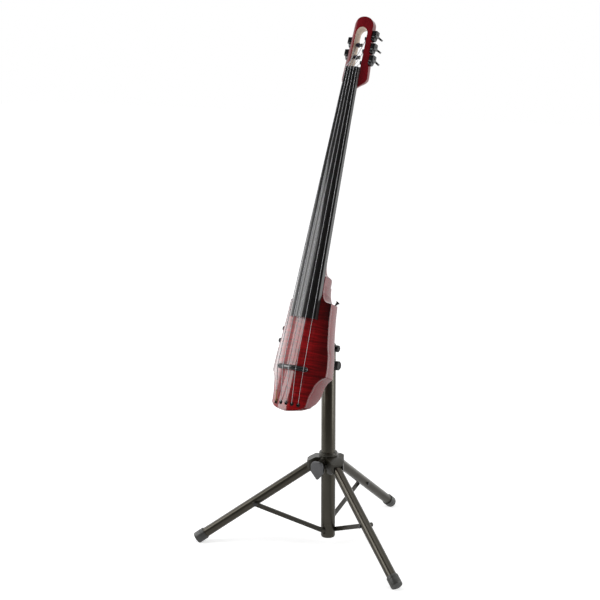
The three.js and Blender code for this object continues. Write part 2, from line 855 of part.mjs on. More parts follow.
// Bridge: base bar, pickup strip and saddle, on two studs with height wheels
const bridgeBase = archedBar(
  bridgeBaseTop,
  bridgeBaseTop - bridgeBaseDepth,
  bridgeHalf,
  -bridgeHalfLength,
  bridgeHalfLength,
  bridgeArchRadius,
);
const roundEnds = (half, length) => {
  const corner = Math.min(bridgeEndRadius, length);
  const plan = [];
  const corners = [[half, length], [-half, length], [-half, -length], [half, -length]];
  for (const [quarter, [w, t]] of corners.entries()) {
    for (let k = 0; k <= 3; k++) {
      const angle = (Math.PI / 2) * (quarter + k / 3);
      const x = w - Math.sign(w) * corner + corner * Math.cos(angle);
      plan.push([x, t - Math.sign(t) * corner + corner * Math.sin(angle)]);
    }
  }
  return prism(plan, right, up, bodyDeep, 0);
};
const studTopAt = (w) => bridgeBaseDepth - (w * w) / (2 * bridgeArchRadius) + studReach;
const studBores = [-studAcross, studAcross].map((w) =>
  rod(at(w, bodyDeep, 0), at(w, studTopAt(w) + fitGap, 0), studRadius + fitGap, pinSides),
);
const bridgeBody = bridgeBase.intersect(roundEnds(bridgeHalf, bridgeHalfLength));
piece("bridge_base", cut(bridgeBody, ...studBores), looks.ebony, celloFrame);
const stripTop = bridgeBaseTop + fitGap + stripThickness;
const strip = archedBar(
  stripTop,
  stripThickness,
  stripHalf,
  -bridgeHalfLength,
  bridgeHalfLength,
  bridgeArchRadius,
);
piece("pickup_strip", strip.intersect(roundEnds(stripHalf, bridgeHalfLength)), looks.steel, celloFrame);
const saddle = archedBar(
  saddleTop,
  saddleTop - saddleBase,
  bridgeHalf,
  -saddleHalfLength,
  saddleHalfLength,
  bridgeArchRadius,
);
piece("bridge_saddle", saddle.intersect(roundEnds(bridgeHalf, saddleHalfLength)), looks.ebony, celloFrame);
for (const [name, w] of [["bridge_stud_left", -studAcross], ["bridge_stud_right", studAcross]]) {
  const shankFoot = topHeight(w) - studDepth + fitGap;
  const shank = rod(at(w, shankFoot, 0), at(w, studTopAt(w), 0), studRadius, pinSides);
  const wheelTop = topHeight(Math.abs(w) - studWheelRadius) + fitGap + studWheelThickness;
  const wheelFoot = wheelTop - studWheelThickness;
  const heightWheel = rod(at(w, wheelFoot, 0), at(w, wheelTop, 0), studWheelRadius, tubeSides);
  piece(name, join(shank, heightWheel), looks.steel, celloFrame);
}

// Strings: each one tube from the anchor over saddle and nut to its post, where it winds round with a gap
class WirePath extends THREE.Curve {
  constructor(points) {
    super();
    this.points = points;
  }
  getPoint(share, target = new THREE.Vector3()) {
    const place = Math.min(Math.max(share, 0), 1) * (this.points.length - 1);
    const i = Math.min(Math.floor(place), this.points.length - 2);
    return target.lerpVectors(this.points[i], this.points[i + 1], place - i);
  }
  getPointAt(share, target) {
    return this.getPoint(share, target);
  }
  getTangentAt(share, target = new THREE.Vector3()) {
    const last = this.points.length - 1;
    const i = Math.round(share * last);
    const before = this.points[Math.max(i - 1, 0)];
    const here = this.points[i];
    const after = this.points[Math.min(i + 1, last)];
    const arriving = i > 0 ? here.clone().sub(before).normalize() : new THREE.Vector3();
    const leaving = i < last ? after.clone().sub(here).normalize() : new THREE.Vector3();
    return target.addVectors(arriving, leaving).normalize();
  }
}

let leastWinding = Infinity;
const anchorStart = tailHoleUp - anchorHalfLength;
const anchorEnd = tailHoleUp + anchorHalfLength;
let anchor = archedBar(anchorTop, anchorThickness, anchorHalf, anchorStart, anchorEnd);
for (const [i, radius] of stringRadii.entries()) {
  const { t, side, start } = machines[i];
  const tailW = place(i, tailSpacing);
  const bridgeW = place(i, bridgeSpacing);
  const nutW = place(i, nutSpacing);
  const tailH = topHeight(tailW);
  const saddleH = saddleTop - (bridgeW * bridgeW) / (2 * bridgeArchRadius) + radius + fitGap;
  const nutH = nutCrown - (nutW * nutW) / (2 * boardArchRadius) + radius + fitGap;
  const below = anchorTop - anchorThickness - anchorRoom / 2 - (tailW * tailW) / (2 * topArchRadius);
  const points = [
    at(tailW, below, tailHoleUp),
    at(tailW, tailH - topThickness / 2, tailHoleUp),
    at(tailW, tailH - radius / 2, tailHoleUp + radius / 2),
    at(tailW, tailH + radius + fitGap, tailHoleUp + 2 * radius),
    at(bridgeW, saddleH, -saddleHalfLength - fitGap),
    at(bridgeW, saddleH, saddleHalfLength + fitGap),
    at(nutW, nutH, nutStart - fitGap),
    at(nutW, nutH, nutEnd + fitGap),
  ];
  const reach = postRadius + fitGap + radius;
  const fall = new THREE.Vector2(nutEnd + fitGap - t, nutH - postDepth);
  const meet = fall.angle() - Math.acos(reach / fall.length());
  const pitch = (2 * radius + windingGap) * -side;
  const helixSteps = Math.round(windingLoops * loopSteps);
  for (let k = 0; k <= helixSteps; k++) {
    const angle = meet - (2 * Math.PI * k) / loopSteps;
    const w = start + (pitch * k) / loopSteps;
    points.push(at(w, postDepth + reach * Math.sin(angle), t + reach * Math.cos(angle)));
  }
  const coil = points.slice(-helixSteps - 1);
  for (let a = 0; a < coil.length; a++) {
    for (let b = a + loopSteps / 2; b < coil.length; b++) {
      leastWinding = Math.min(leastWinding, coil[a].distanceTo(coil[b]) - 2 * radius);
    }
  }
  const section = [];
  for (let k = 0; k < wireSides; k++) {
    const angle = (2 * Math.PI * k) / wireSides;
    section.push(new THREE.Vector2(radius * Math.cos(angle), radius * Math.sin(angle)));
  }
  const wire = new THREE.ExtrudeGeometry(new THREE.Shape(section), {
    steps: points.length - 1,
    bevelEnabled: false,
    extrudePath: new WirePath(points),
  });
  piece(`string_${i + 1}`, solid(wire), looks.steel, celloFrame);
  const wireHole = rod(at(tailW, bodyDeep, tailHoleUp), at(tailW, 0, tailHoleUp), radius + fitGap, pinSides);
  anchor = cut(anchor, wireHole);
}
piece("string_anchor", anchor, looks.brass, celloFrame);
console.log("least winding gap mm", leastWinding.toFixed(2));

// Mounting arm: a plate on the back of the body and an eye on the tilt axis
const toCello = celloFrame.clone().invert();
const pivot = new THREE.Vector3(0, 0, pivotHeight).applyMatrix4(toCello);
const pivotDepth = -pivot.y;
const pivotUp = pivot.z;
const mountPlate = backSlice(-fitGap - plateThickness, -fitGap, plateStart, plateEnd, -plateHalf, plateHalf);
const armOutline = [
  [armRootStart, backHeight(armRootStart) - fitGap - plateThickness / 2],
  [armRootEnd, backHeight(armRootEnd) - fitGap - plateThickness / 2],
  [pivotUp + armEyeRadius, pivotDepth],
  [pivotUp - armEyeRadius, pivotDepth],
];
const armWeb = prism(armOutline, up, front, -armHalf, armHalf);
const armEye = rod(at(-armHalf, pivotDepth, pivotUp), at(armHalf, pivotDepth, pivotUp), armEyeRadius);
const eyeHole = rod(
  at(-archHalf, pivotDepth, pivotUp),
  at(archHalf, pivotDepth, pivotUp),
  tiltBoltRadius + fitGap,
  pinSides,
);
let arm = join(mountPlate, armWeb, armEye);
arm = cut(arm, eyeHole, ...screwUps.map((t) => screwBore(t)));
piece("mounting_arm", arm, looks.blackMetal, celloFrame);
for (const [i, t] of screwUps.entries()) {
  const seat = backHeight(t) - plateThickness - 3 * fitGap;
  const tipDepth = backHeight(t) + screwLength - fitGap;
  const shank = rod(at(0, seat - screwHeadThickness / 2, t), at(0, tipDepth, t), screwRadius, pinSides);
  const head = rod(at(0, seat - screwHeadThickness, t), at(0, seat, t), screwHeadRadius, pinSides);
  piece(`mounting_screw_${i + 1}`, join(shank, head), looks.steel, celloFrame);
}

// Pole with the boss of the height lock
const post = (bottom, top, radius, sides = tubeSides) =>
  rod(new THREE.Vector3(0, 0, bottom), new THREE.Vector3(0, 0, top), radius, sides);
const across = (from, to, z, radius, sides = tubeSides) =>
  rod(new THREE.Vector3(from, 0, z), new THREE.Vector3(to, 0, z), radius, sides);
const lockBoss = across(poleBore + fitGap, lockBossEnd, lockHeight, lockBossRadius, tubeSides);
const pole = cut(
  join(post(poleBottom, poleTop, poleRadius), lockBoss),
  post(poleBottom - fitGap, poleTop + fitGap, poleBore),
  across(0, lockBossEnd + fitGap, lockHeight, lockShaftRadius + fitGap, pinSides),
);
piece("pole", pole, looks.standPaint);

// A knob outline with shallow ridges round its rim
function ridged(radius, ridges, depth) {
  const rim = [];
  for (let k = 0; k < 2 * ridges; k++) {
    const angle = (Math.PI * k) / ridges;
    const reach = radius - (k % 2) * depth;
    rim.push([reach * Math.cos(angle), reach * Math.sin(angle)]);
  }
  return rim;
}
const lockHead = prism(
  ridged(lockKnobRadius, lockKnobRidges, knurlDepth),
  back,
  up,
  lockKnobStart,
  lockKnobEnd,
  new THREE.Vector3(0, 0, lockHeight),
);
const lockShaft = across(poleBore + fitGap, lockKnobStart + fitGap, lockHeight, lockShaftRadius, pinSides);
piece("height_lock_knob", join(lockHead, lockShaft), looks.blackMetal);

// Upper tube with its forked tilt head
const headBottom = poleTop + fitGap;
const chamferTop = tiltHeadTop - tiltHeadChamfer;
const tiltHead = join(
  turned([
    [0, headBottom],
    [poleRadius, headBottom],
    [poleRadius, chamferTop],
    [poleRadius - tiltHeadChamfer, tiltHeadTop],
    [0, tiltHeadTop],
  ]),
  post(innerBottom, headBottom + fitGap, innerRadius),
);
const forkSlot = block(
  new THREE.Vector3(-forkHalf, -cutReach, forkFloor),
  new THREE.Vector3(forkHalf, cutReach, tiltHeadTop + fitGap),
);
const upperTube = cut(
  tiltHead,
  forkSlot,
  across(-cutReach, cutReach, pivotHeight, tiltBoltRadius + fitGap, pinSides),
  post(innerBottom - fitGap, innerBoreTop, innerBore),
);
piece("upper_tube", upperTube, looks.standPaint);

const tiltHeadKnob = prism(
  ridged(tiltKnobRadius, tiltKnobLobes, knurlDepth),
  back,
  up,
  tiltKnobStart,
  tiltKnobEnd,
  new THREE.Vector3(0, 0, pivotHeight),
);
const tiltBolt = across(tiltBoltEnd, tiltKnobStart + fitGap, pivotHeight, tiltBoltRadius, pinSides);
const tiltNut = across(tiltBoltEnd, tiltNutFace, pivotHeight, tiltNutRadius, wireSides);
piece("tilt_knob", join(tiltHeadKnob, tiltBolt, tiltNut), looks.blackMetal);

// Hub: a core, three lobes with slots for the legs, pivot pins, and a boss for the wing bolt
const inLeg = (degrees, body) => placed(body, legFrame(degrees));
const corner = (x, y, z) => new THREE.Vector3(x, y, z);
let hub = post(hubBottom, hubTop, hubCoreRadius);
for (const degrees of legAngles) {
  const lobePlan = [
    [0, -lobeHalf],
    [lobeOut - cheekChamfer / 2, -lobeHalf],
    [lobeOut, -lobeHalf + cheekChamfer / 2],
    [lobeOut, lobeHalf - cheekChamfer / 2],
    [lobeOut - cheekChamfer / 2, lobeHalf],
    [0, lobeHalf],
  ];
  const lobe = prism(lobePlan, right, back, cheekBottom, hubTop);
  const underside = prism(
    [
      [0, cheekBottom - fitGap],
      [hubCoreRadius, cheekBottom - fitGap],
      [hubCoreRadius, hubBottom],
      [0, hubBottom],
    ],
    right,
    up,
    -cutReach,
    cutReach,
  );
  const tipUnder = prism(
    [
      [lobeOut - cheekChamfer, cheekBottom - fitGap],
      [lobeOut + fitGap, cheekBottom - fitGap],
      [lobeOut + fitGap, cheekBottom + cheekChamfer],
    ],
    right,
    up,
    -cutReach,
    cutReach,
  );
  const tipRoof = prism(
    [
      [lobeSlopeStart, hubTop],
      [lobeOut + fitGap, lobeTipTop],
      [lobeOut + fitGap, hubTop + fitGap],
      [lobeSlopeStart, hubTop + fitGap],
    ],
    right,
    up,
    -cutReach,
    cutReach,
  );
  hub = join(hub, inLeg(degrees, cut(lobe, underside, tipUnder, tipRoof)));
}
const bossDegrees = 270;
const bossAt = (from, to, radius, sides = tubeSides) =>
  inLeg(bossDegrees, rod(corner(from, 0, bossHeight), corner(to, 0, bossHeight), radius, sides));
hub = join(hub, bossAt(hubBore, bossOut, bossRadius));
for (const degrees of legAngles) {
  const slotIn = legPivotOut - legEyeHalf - fitGap;
  const legSlot = prism(
    [
      [slotIn, 0],
      [cutReach, 0],
      [cutReach, lobeTipCeiling],
      [lobeOut, lobeTipCeiling],
      [lobeCeilingStart, lobeRoof],
      [slotIn, lobeRoof],
    ],
    right,
    up,
    -lobeSlotHalf,
    lobeSlotHalf,
  );
  const legPin = rod(
    corner(legPivotOut, -lobeHalf + fitGap, legPivotHeight),
    corner(legPivotOut, lobeHalf - fitGap, legPivotHeight),
    legPinRadius,
    pinSides,
  );
  hub = cut(hub, inLeg(degrees, legSlot));
  hub = join(hub, inLeg(degrees, legPin));
}
hub = cut(
  hub,
  post(0, hubTop + fitGap, hubBore),
  bossAt(0, bossOut + fitGap, wingShaftRadius + fitGap, pinSides),
);
piece("hub", hub, looks.castPaint);

const ringBody = turned([
  [0, hubTop + fitGap],
  [ringRadius, hubTop + fitGap],
  [ringRadius, ringTop - ringChamfer],
  [ringRadius - ringChamfer, ringTop],
  [0, ringTop],
]);
piece("hub_ring", cut(ringBody, post(0, ringTop + fitGap, hubBore)), looks.castPaint);

// Wing bolt with its hanging paddle
const paddle = [
  [-wingShoulder, wingTop],
  [wingShoulder, wingTop],
  [wingHalf, 0],
  [wingHalf, wingSide],
  [0, wingTip],
  [-wingHalf, wingSide],
  [-wingHalf, 0],
];
const wingPlate = prism(paddle, right, up, wingOut, wingOut + wingThickness, corner(0, 0, bossHeight));
const wingShaft = bossAt(wingInner, wingOut + fitGap, wingShaftRadius, pinSides);
const wingCollar = bossAt(wingOut - wingCollarLength, wingOut + fitGap, wingCollarRadius);
piece("wing_bolt", join(wingPlate, wingShaft, wingCollar), looks.chrome);

// Legs, feet, struts and their bolts, each built along +X in its own plane and turned into place
const slope = radians(legSlopeDegrees);
const outward = corner(Math.cos(slope), 0, -Math.sin(slope));
const downward = corner(-Math.sin(slope), 0, -Math.cos(slope));
const legPivot = corner(legPivotOut, 0, legPivotHeight);
const onLeg = (along, drop = 0, side = 0) =>
  legPivot.clone().addScaledVector(outward, along).addScaledVector(downward, drop).add(corner(0, side, 0));
const strutJoint = onLeg(strutOuter, strutDrop);
const strutRoot = corner(strutInnerOut, 0, strutInnerHeight);
const strutLine = strutJoint.clone().sub(strutRoot);
const strutLength = strutLine.length();
const strutSlope = Math.atan2(strutLine.z, strutLine.x);
const strutAlong = strutLine.clone().normalize();
const strutRise = corner(-strutAlong.z, 0, strutAlong.x);
const stadium = (length, radius, ends) => {
  const rim = [];
  for (let k = 0; k <= ends; k++) {
    const angle = Math.PI * (1 / 2 + k / ends);
    rim.push([radius * Math.cos(angle), radius * Math.sin(angle)]);
  }
  for (let k = 0; k <= ends; k++) {
    const angle = Math.PI * (k / ends - 1 / 2);
    rim.push([length + radius * Math.cos(angle), radius * Math.sin(angle)]);
  }
  return rim;
};
const endFacets = 8;

// The ground lies a little above the lowest edge of the foot caps, which are cut flat on it
const capLowest = legPivotHeight - legLength * Math.sin(slope) - capRadius * Math.cos(slope);
const groundLevel = capLowest + footCut;

// Pole foot: a plug the size of the pole, with three flats and pins for the struts
const rimTop = footBottom + footRimHeight;
const footShoulder = poleBottom - fitGap;
let foot = turned([
  [0, footBottom],
  [poleRadius - footRimIn, footBottom],
  [poleRadius, rimTop],
  [poleRadius, footShoulder],
  [innerRadius, footShoulder],
  [innerRadius, footSpigotTop],
  [0, footSpigotTop],
]);
for (const degrees of legAngles) {
  const footFlat = block(
    corner(footFlatIn, legRadius, strutInnerHeight - footFlatHalf),
    corner(cutReach, cutReach, strutInnerHeight + footFlatHalf),
  );
  foot = cut(foot, inLeg(degrees, footFlat));
}
const pinHeadEnd = boltHeadInner + strutPinHeadThickness;
for (const degrees of legAngles) {
  const pin = rod(
    corner(strutInnerOut, strutPinRoot, strutInnerHeight),
    corner(strutInnerOut, pinHeadEnd, strutInnerHeight),
    strutPinRadius,
    pinSides,
  );
  const pinHead = rod(
    corner(strutInnerOut, boltHeadInner, strutInnerHeight),
    corner(strutInnerOut, pinHeadEnd, strutInnerHeight),
    strutPinHeadRadius,
    pinSides,
  );
  foot = join(foot, inLeg(degrees, pin), inLeg(degrees, pinHead));
}
piece("pole_foot", foot, looks.standPaint);

for (const [i, degrees] of legAngles.entries()) {
  const frame = legFrame(degrees);
  const eye = rod(onLeg(0, 0, -legEyeHalf), onLeg(0, 0, legEyeHalf), legRadius - fitGap);
  const tube = rod(onLeg(0), onLeg(legLength - legTubeShort), legRadius);
  const tubeCap = block(corner(-cutReach, -legEyeHalf, -cutReach), corner(cutReach, legEyeHalf, legLength));
  const hollow = rod(onLeg(legBoreStart), onLeg(legLength), legBore, pinSides);
  const pinHole = rod(onLeg(0, 0, -cutReach), onLeg(0, 0, cutReach), legPinRadius + fitGap, pinSides);
  const boltHole = rod(
    onLeg(strutOuter, strutDrop, -cutReach),
    onLeg(strutOuter, strutDrop, cutReach),
    boltRadius + fitGap,
    pinSides,
  );
  const leg = cut(join(tube, eye), hollow, pinHole, boltHole);
  piece(`leg_${i + 1}`, leg, looks.standPaint, frame);

  const capShell = turned([
    [0, legLength - capLength],
    [capRadius, legLength - capLength],
    [capRadius, legLength - capRim],
    [capRadius - capRim, legLength],
    [0, legLength],
  ]);
  const capFrame = new THREE.Matrix4().makeBasis(downward, back, outward).setPosition(legPivot);
  const capBore = rod(onLeg(0), onLeg(legLength - legTubeShort + fitGap), legRadius + fitGap);
  const ground = block(
    corner(0, -cutReach, groundLevel - cutReach),
    corner(legLength + cutReach, cutReach, groundLevel),
  );
  piece(`foot_cap_${i + 1}`, cut(placed(capShell, capFrame), capBore, ground), looks.rubber, frame);

  const barOutline = stadium(strutLength + boltSlackAlong, strutHalfHeight, endFacets);
  const bar = prism(barOutline, strutAlong, strutRise, -strutOutside, -strutInside, strutRoot);
  const rootHole = rod(
    strutRoot.clone().add(corner(0, -cutReach, 0)),
    strutRoot.clone().add(corner(0, cutReach, 0)),
    strutPinRadius + fitGap,
    pinSides,
  );
  const slackHole = [];
  for (let k = 0; k < pinSides; k++) {
    const angle = (2 * Math.PI * (k + 1 / 2)) / pinSides;
    const x = (boltRadius + fitGap) * Math.cos(angle);
    const z = (boltRadius + fitGap) * Math.sin(angle);
    slackHole.push([strutLength + x + Math.sign(x) * boltSlackAlong, z + Math.sign(z) * boltSlackAcross]);
  }
  const jointHole = prism(slackHole, strutAlong, strutRise, -cutReach, cutReach, strutRoot);
  piece(`strut_${i + 1}`, cut(bar, rootHole, jointHole), looks.castPaint, frame);

  const shank = rod(
    onLeg(strutOuter, strutDrop, -boltNutInner - boltHeadThickness),
    onLeg(strutOuter, strutDrop, boltHeadInner + boltHeadThickness),
    boltRadius,
    pinSides,
  );
  const head = rod(
    onLeg(strutOuter, strutDrop, boltHeadInner),
    onLeg(strutOuter, strutDrop, boltHeadInner + boltHeadThickness),
    boltHeadRadius,
    pinSides,
  );
  const nut = rod(
    onLeg(strutOuter, strutDrop, -boltNutInner - boltHeadThickness),
    onLeg(strutOuter, strutDrop, -boltNutInner),
    boltHeadRadius,
    wireSides,
  );
  piece(`strut_bolt_${i + 1}`, join(shank, head, nut), looks.steel, frame);
  pivots[`leg_${i + 1}`] = legPivot.clone().applyMatrix4(frame);
  pivots[`strut_${i + 1}`] = strutRoot.clone().applyMatrix4(frame);
  pivots[`foot_cap_${i + 1}`] = onLeg(legLength, 0).setZ(groundLevel).applyMatrix4(frame);
}

// The frame's origin is the middle of the footprint, on the ground
group.updateMatrixWorld(true);
const bounds = new THREE.Box3().setFromObject(group);
const middle = bounds.getCenter(new THREE.Vector3());
const shift = new THREE.Vector3(-middle.x, -middle.y, -bounds.min.z);
for (const mesh of group.children) mesh.geometry.translate(shift.x, shift.y, shift.z);
pivots.tilt = corner(0, 0, pivotHeight);
pivots.height_lock_knob = corner(lockKnobStart, 0, lockHeight);
pivots.wing_bolt = corner(0, -wingOut, bossHeight);
pivots.volume_knob = at(-flankHalf(knobUps[0]), knobDepth, knobUps[0]).applyMatrix4(celloFrame);
pivots.tone_knob = at(-flankHalf(knobUps[1]), knobDepth, knobUps[1]).applyMatrix4(celloFrame);
for (const [name, point] of Object.entries(pivots)) {
  point.add(shift);
  console.log("pivot", name, point.toArray().map((value) => value.toFixed(3)).join(" "));
}
const size = bounds.getSize(new THREE.Vector3());
console.log("shift", shift.toArray().map((value) => value.toFixed(3)).join(" "));
console.log("size", size.toArray().map((value) => value.toFixed(2)).join(" "));
console.log("strut slope", ((strutSlope * 180) / Math.PI).toFixed(3));

export default group;
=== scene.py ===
import json
import math

import bmesh
import bpy
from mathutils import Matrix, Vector


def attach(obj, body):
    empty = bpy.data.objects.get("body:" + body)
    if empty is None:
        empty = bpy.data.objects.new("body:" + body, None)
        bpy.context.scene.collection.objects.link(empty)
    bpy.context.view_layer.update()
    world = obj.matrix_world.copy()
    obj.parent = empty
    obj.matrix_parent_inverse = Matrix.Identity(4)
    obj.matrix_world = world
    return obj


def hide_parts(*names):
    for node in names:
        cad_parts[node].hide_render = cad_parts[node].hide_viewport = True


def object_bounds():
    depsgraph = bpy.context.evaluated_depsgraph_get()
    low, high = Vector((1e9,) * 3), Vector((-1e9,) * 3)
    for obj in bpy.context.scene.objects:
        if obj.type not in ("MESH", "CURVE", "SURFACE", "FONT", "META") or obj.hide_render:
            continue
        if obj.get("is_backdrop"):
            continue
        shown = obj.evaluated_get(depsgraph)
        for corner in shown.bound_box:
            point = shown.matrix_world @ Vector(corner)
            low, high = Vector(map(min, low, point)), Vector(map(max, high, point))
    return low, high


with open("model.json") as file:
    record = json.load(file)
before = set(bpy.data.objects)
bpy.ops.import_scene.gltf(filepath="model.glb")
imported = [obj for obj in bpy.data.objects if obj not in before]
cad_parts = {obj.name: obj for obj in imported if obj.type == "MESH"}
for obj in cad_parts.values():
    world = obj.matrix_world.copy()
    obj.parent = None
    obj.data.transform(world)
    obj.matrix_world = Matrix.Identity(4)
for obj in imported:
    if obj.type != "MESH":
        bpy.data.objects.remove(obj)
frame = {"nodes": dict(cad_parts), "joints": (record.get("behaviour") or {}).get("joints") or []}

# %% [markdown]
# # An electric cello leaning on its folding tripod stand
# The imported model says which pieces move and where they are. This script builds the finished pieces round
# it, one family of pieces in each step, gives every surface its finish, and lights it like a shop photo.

cad_low, cad_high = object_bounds()
MM = 0.001
print("CAD box in metres:", [round(v, 4) for v in (*cad_low, *cad_high)])

# %% [markdown]
# The cello leans back on its stand, so its pieces are easiest to place in a frame of its own: w runs across
# it, h comes out of its front and t runs up its neck, in millimetres from the middle of the bridge.
# A finished piece could be turned into place with a matrix. Here each point is placed once by a function
# instead, so that every object stays at the origin and patterns in object coordinates can't slide.

# %% The cello's frame and the stand's
LEAN = math.radians(22.23)
ACROSS = Vector((1, 0, 0))
BACKWARD = Vector((0, 1, 0))
Z = Vector((0, 0, 1))
UP = Vector((0, math.sin(LEAN), math.cos(LEAN)))
OUT = Vector((0, -math.cos(LEAN), math.sin(LEAN)))
PIVOT_HEIGHT = 482
BRIDGE_FORWARD, BRIDGE_DROP = 172.2, 8.1
tilt_axis = next(Vector(joint["pos_m"]) for joint in frame["joints"] if joint["name"] == "tilt")
POLE = tilt_axis - Z * PIVOT_HEIGHT * MM
BRIDGE = tilt_axis - (BACKWARD * BRIDGE_FORWARD + Z * BRIDGE_DROP) * MM


def at(w, h, t):
    """A point of the cello."""
    return BRIDGE + (ACROSS * w + OUT * h + UP * t) * MM


def ground(x, y, z):
    """A point of the stand, measured from the floor under the pole."""
    return POLE + Vector((x, y, z)) * MM


print("bridge centre:", [round(v, 4) for v in BRIDGE])

# %% [markdown]
# The camera stands where the photo's camera stood: a long lens from the right, a little above the middle.
# A matched camera lets the render be laid over the photo, which is the quickest way to find a wrong size.

# %% Camera
CAMERA_PLACE = Vector((1.6497, -2.7439, 1.2511))
CAMERA_TURN, CAMERA_RISE = math.radians(32.21), math.radians(11.59)
LENS, SENSOR = 85, 36

scene = bpy.context.scene
scene.view_settings.view_transform = "Standard"
camera_data = bpy.data.cameras.new("photo_camera")
camera_data.lens = LENS
camera_data.sensor_width = SENSOR
camera_data.clip_start = 0.1
camera_data.clip_end = 60
camera = bpy.data.objects.new("photo_camera", camera_data)
scene.collection.objects.link(camera)
camera.location = POLE + CAMERA_PLACE
look = Vector((
    -math.sin(CAMERA_TURN) * math.cos(CAMERA_RISE),
    math.cos(CAMERA_TURN) * math.cos(CAMERA_RISE),
    -math.sin(CAMERA_RISE),
))
camera.rotation_mode = "QUATERNION"
camera.rotation_quaternion = look.to_track_quat("-Z", "Y")
scene.camera = camera
print("camera at", [round(v, 3) for v in camera.location])


# %% [markdown]
# A finish is a graph of nodes. Wiring one by hand hides the pattern behind links, so two small classes help:
# `Wire` is a node's output that can be added and multiplied like a number, and `Graph` adds any other node.

# %% Wires and graphs
class Wire:
    """A node's output. A sum or product of wires and numbers adds Math nodes."""

    def __init__(self, graph, socket):
        self.graph = graph
        self.socket = socket

    def __add__(self, other):
        return self.graph.math("ADD", self, other)

    def __radd__(self, other):
        return self.graph.math("ADD", other, self)

    def __sub__(self, other):
        return self.graph.math("SUBTRACT", self, other)

    def __rsub__(self, other):
        return self.graph.math("SUBTRACT", other, self)

    def __mul__(self, other):
        return self.graph.math("MULTIPLY", self, other)

    def __rmul__(self, other):
        return self.graph.math("MULTIPLY", other, self)

    def __abs__(self):
        return self.graph.math("ABSOLUTE", self)

    def step(self, low, high):
        """Rises smoothly from 0 at low to 1 at high."""
        limits = {"Value": self, "From Min": low, "From Max": high}
        return self.graph.node("ShaderNodeMapRange", {"interpolation_type": "SMOOTHSTEP"}, limits)


class Graph:
    """The nodes of a material or a world."""

    def __init__(self, owner):
        owner.use_nodes = True
        self.tree = owner.node_tree

    def feed(self, socket, value):
        if isinstance(value, Wire):
            self.tree.links.new(value.socket, socket)
        else:
            socket.default_value = value

    def node(self, kind, settings=None, inputs=None, out=0):
        """One node: its settings first, then the values or links of its inputs."""
        node = self.tree.nodes.new(kind)
        for name, value in (settings or {}).items():
            setattr(node, name, value)
        for name, value in (inputs or {}).items():
            self.feed(node.inputs[name], value)
        return Wire(self, node.outputs[out]) if node.outputs else None

    def math(self, operation, *values, clamp=False):
        settings = {"operation": operation, "use_clamp": clamp}
        return self.node("ShaderNodeMath", settings, dict(enumerate(values)))


print("wires can be added, taken away, multiplied and stepped")

# %% [markdown]
# Every pattern starts from a place. `along` measures metres along one of the cello's own directions, so that
# grain follows the neck although the cello leans, and `noise` stretches a pattern by scaling that place.

# %% Places, noise and colours
MIX_SHARE, MIX_FROM, MIX_TO, MIX_COLOR = 0, 6, 7, 2


def along(graph, direction):
    """Metres from the bridge along a direction, in object coordinates."""
    place = graph.node("ShaderNodeTexCoord", out="Object")
    moved = graph.node("ShaderNodeVectorMath", {"operation": "SUBTRACT"}, {0: place, 1: BRIDGE})
    sides = {0: moved, 1: direction}
    return graph.node("ShaderNodeVectorMath", {"operation": "DOT_PRODUCT"}, sides, "Value")


def noise(graph, where, scale=1.0, detail=3.0, rough=0.5, distort=0.0):
    """Noise at a place, or at three coordinates that already hold their scales."""
    if isinstance(where, tuple):
        where = graph.node("ShaderNodeCombineXYZ", {}, dict(enumerate(where)))
    inputs = {"Vector": where, "Scale": scale, "Detail": detail, "Roughness": rough, "Distortion": distort}
    return graph.node("ShaderNodeTexNoise", {}, inputs, "Fac")


def tint(graph, share, low, high):
    """A colour between two colours."""
    inputs = {MIX_SHARE: share, MIX_FROM: low, MIX_TO: high}
    return graph.node("ShaderNodeMix", {"data_type": "RGBA"}, inputs, MIX_COLOR)


def srgb(code):
    """A colour from the six digits that a paint program shows."""
    parts = [int(code[i:i + 2], 16) / 255 for i in (0, 2, 4)]
    linear = [v / 12.92 if v <= 0.04045 else ((v + 0.055) / 1.055) ** 2.4 for v in parts]
    return (*linear, 1.0)


def finish(name, build, metallic=0.0, coat=0.0, coat_rough=0.05, bump=0.2, specular=0.5):
    """Makes a material. build(graph) returns colour, roughness and height, and bump is in millimetres."""
    material = bpy.data.materials.new(name)
    graph = Graph(material)
    color, roughness, height = build(graph)
    relief = {"Strength": 1.0, "Distance": bump * MM, "Height": height}
    values = {
        "Base Color": color,
        "Roughness": roughness,
        "Metallic": metallic,
        "Specular IOR Level": specular,
        "Coat Weight": coat,
        "Coat Roughness": coat_rough,
        "Normal": graph.node("ShaderNodeBump", {}, relief),
    }
    shader = graph.tree.nodes["Principled BSDF"]
    for socket, value in values.items():
        graph.feed(shader.inputs[socket], value)
    return material


paints = {}
print("red of the top:", [round(v, 3) for v in srgb("a80f15")[:3]])

# %% [markdown]
# The top is maple with a curly figure, stained red and lacquered. The curl is what a cabinet maker calls
# flame: bands that run across the grain and sway. An image could hold them, but noise that is stretched
# across the cello and pushed by slower noise gives them at any size. The stain is darker at the edges.

# %% Flamed top
TOP_STAIN = (srgb("72060a"), srgb("a80f15"))
GRAIN_STAIN, EDGE_STAIN = srgb("430304"), srgb("1c0104")


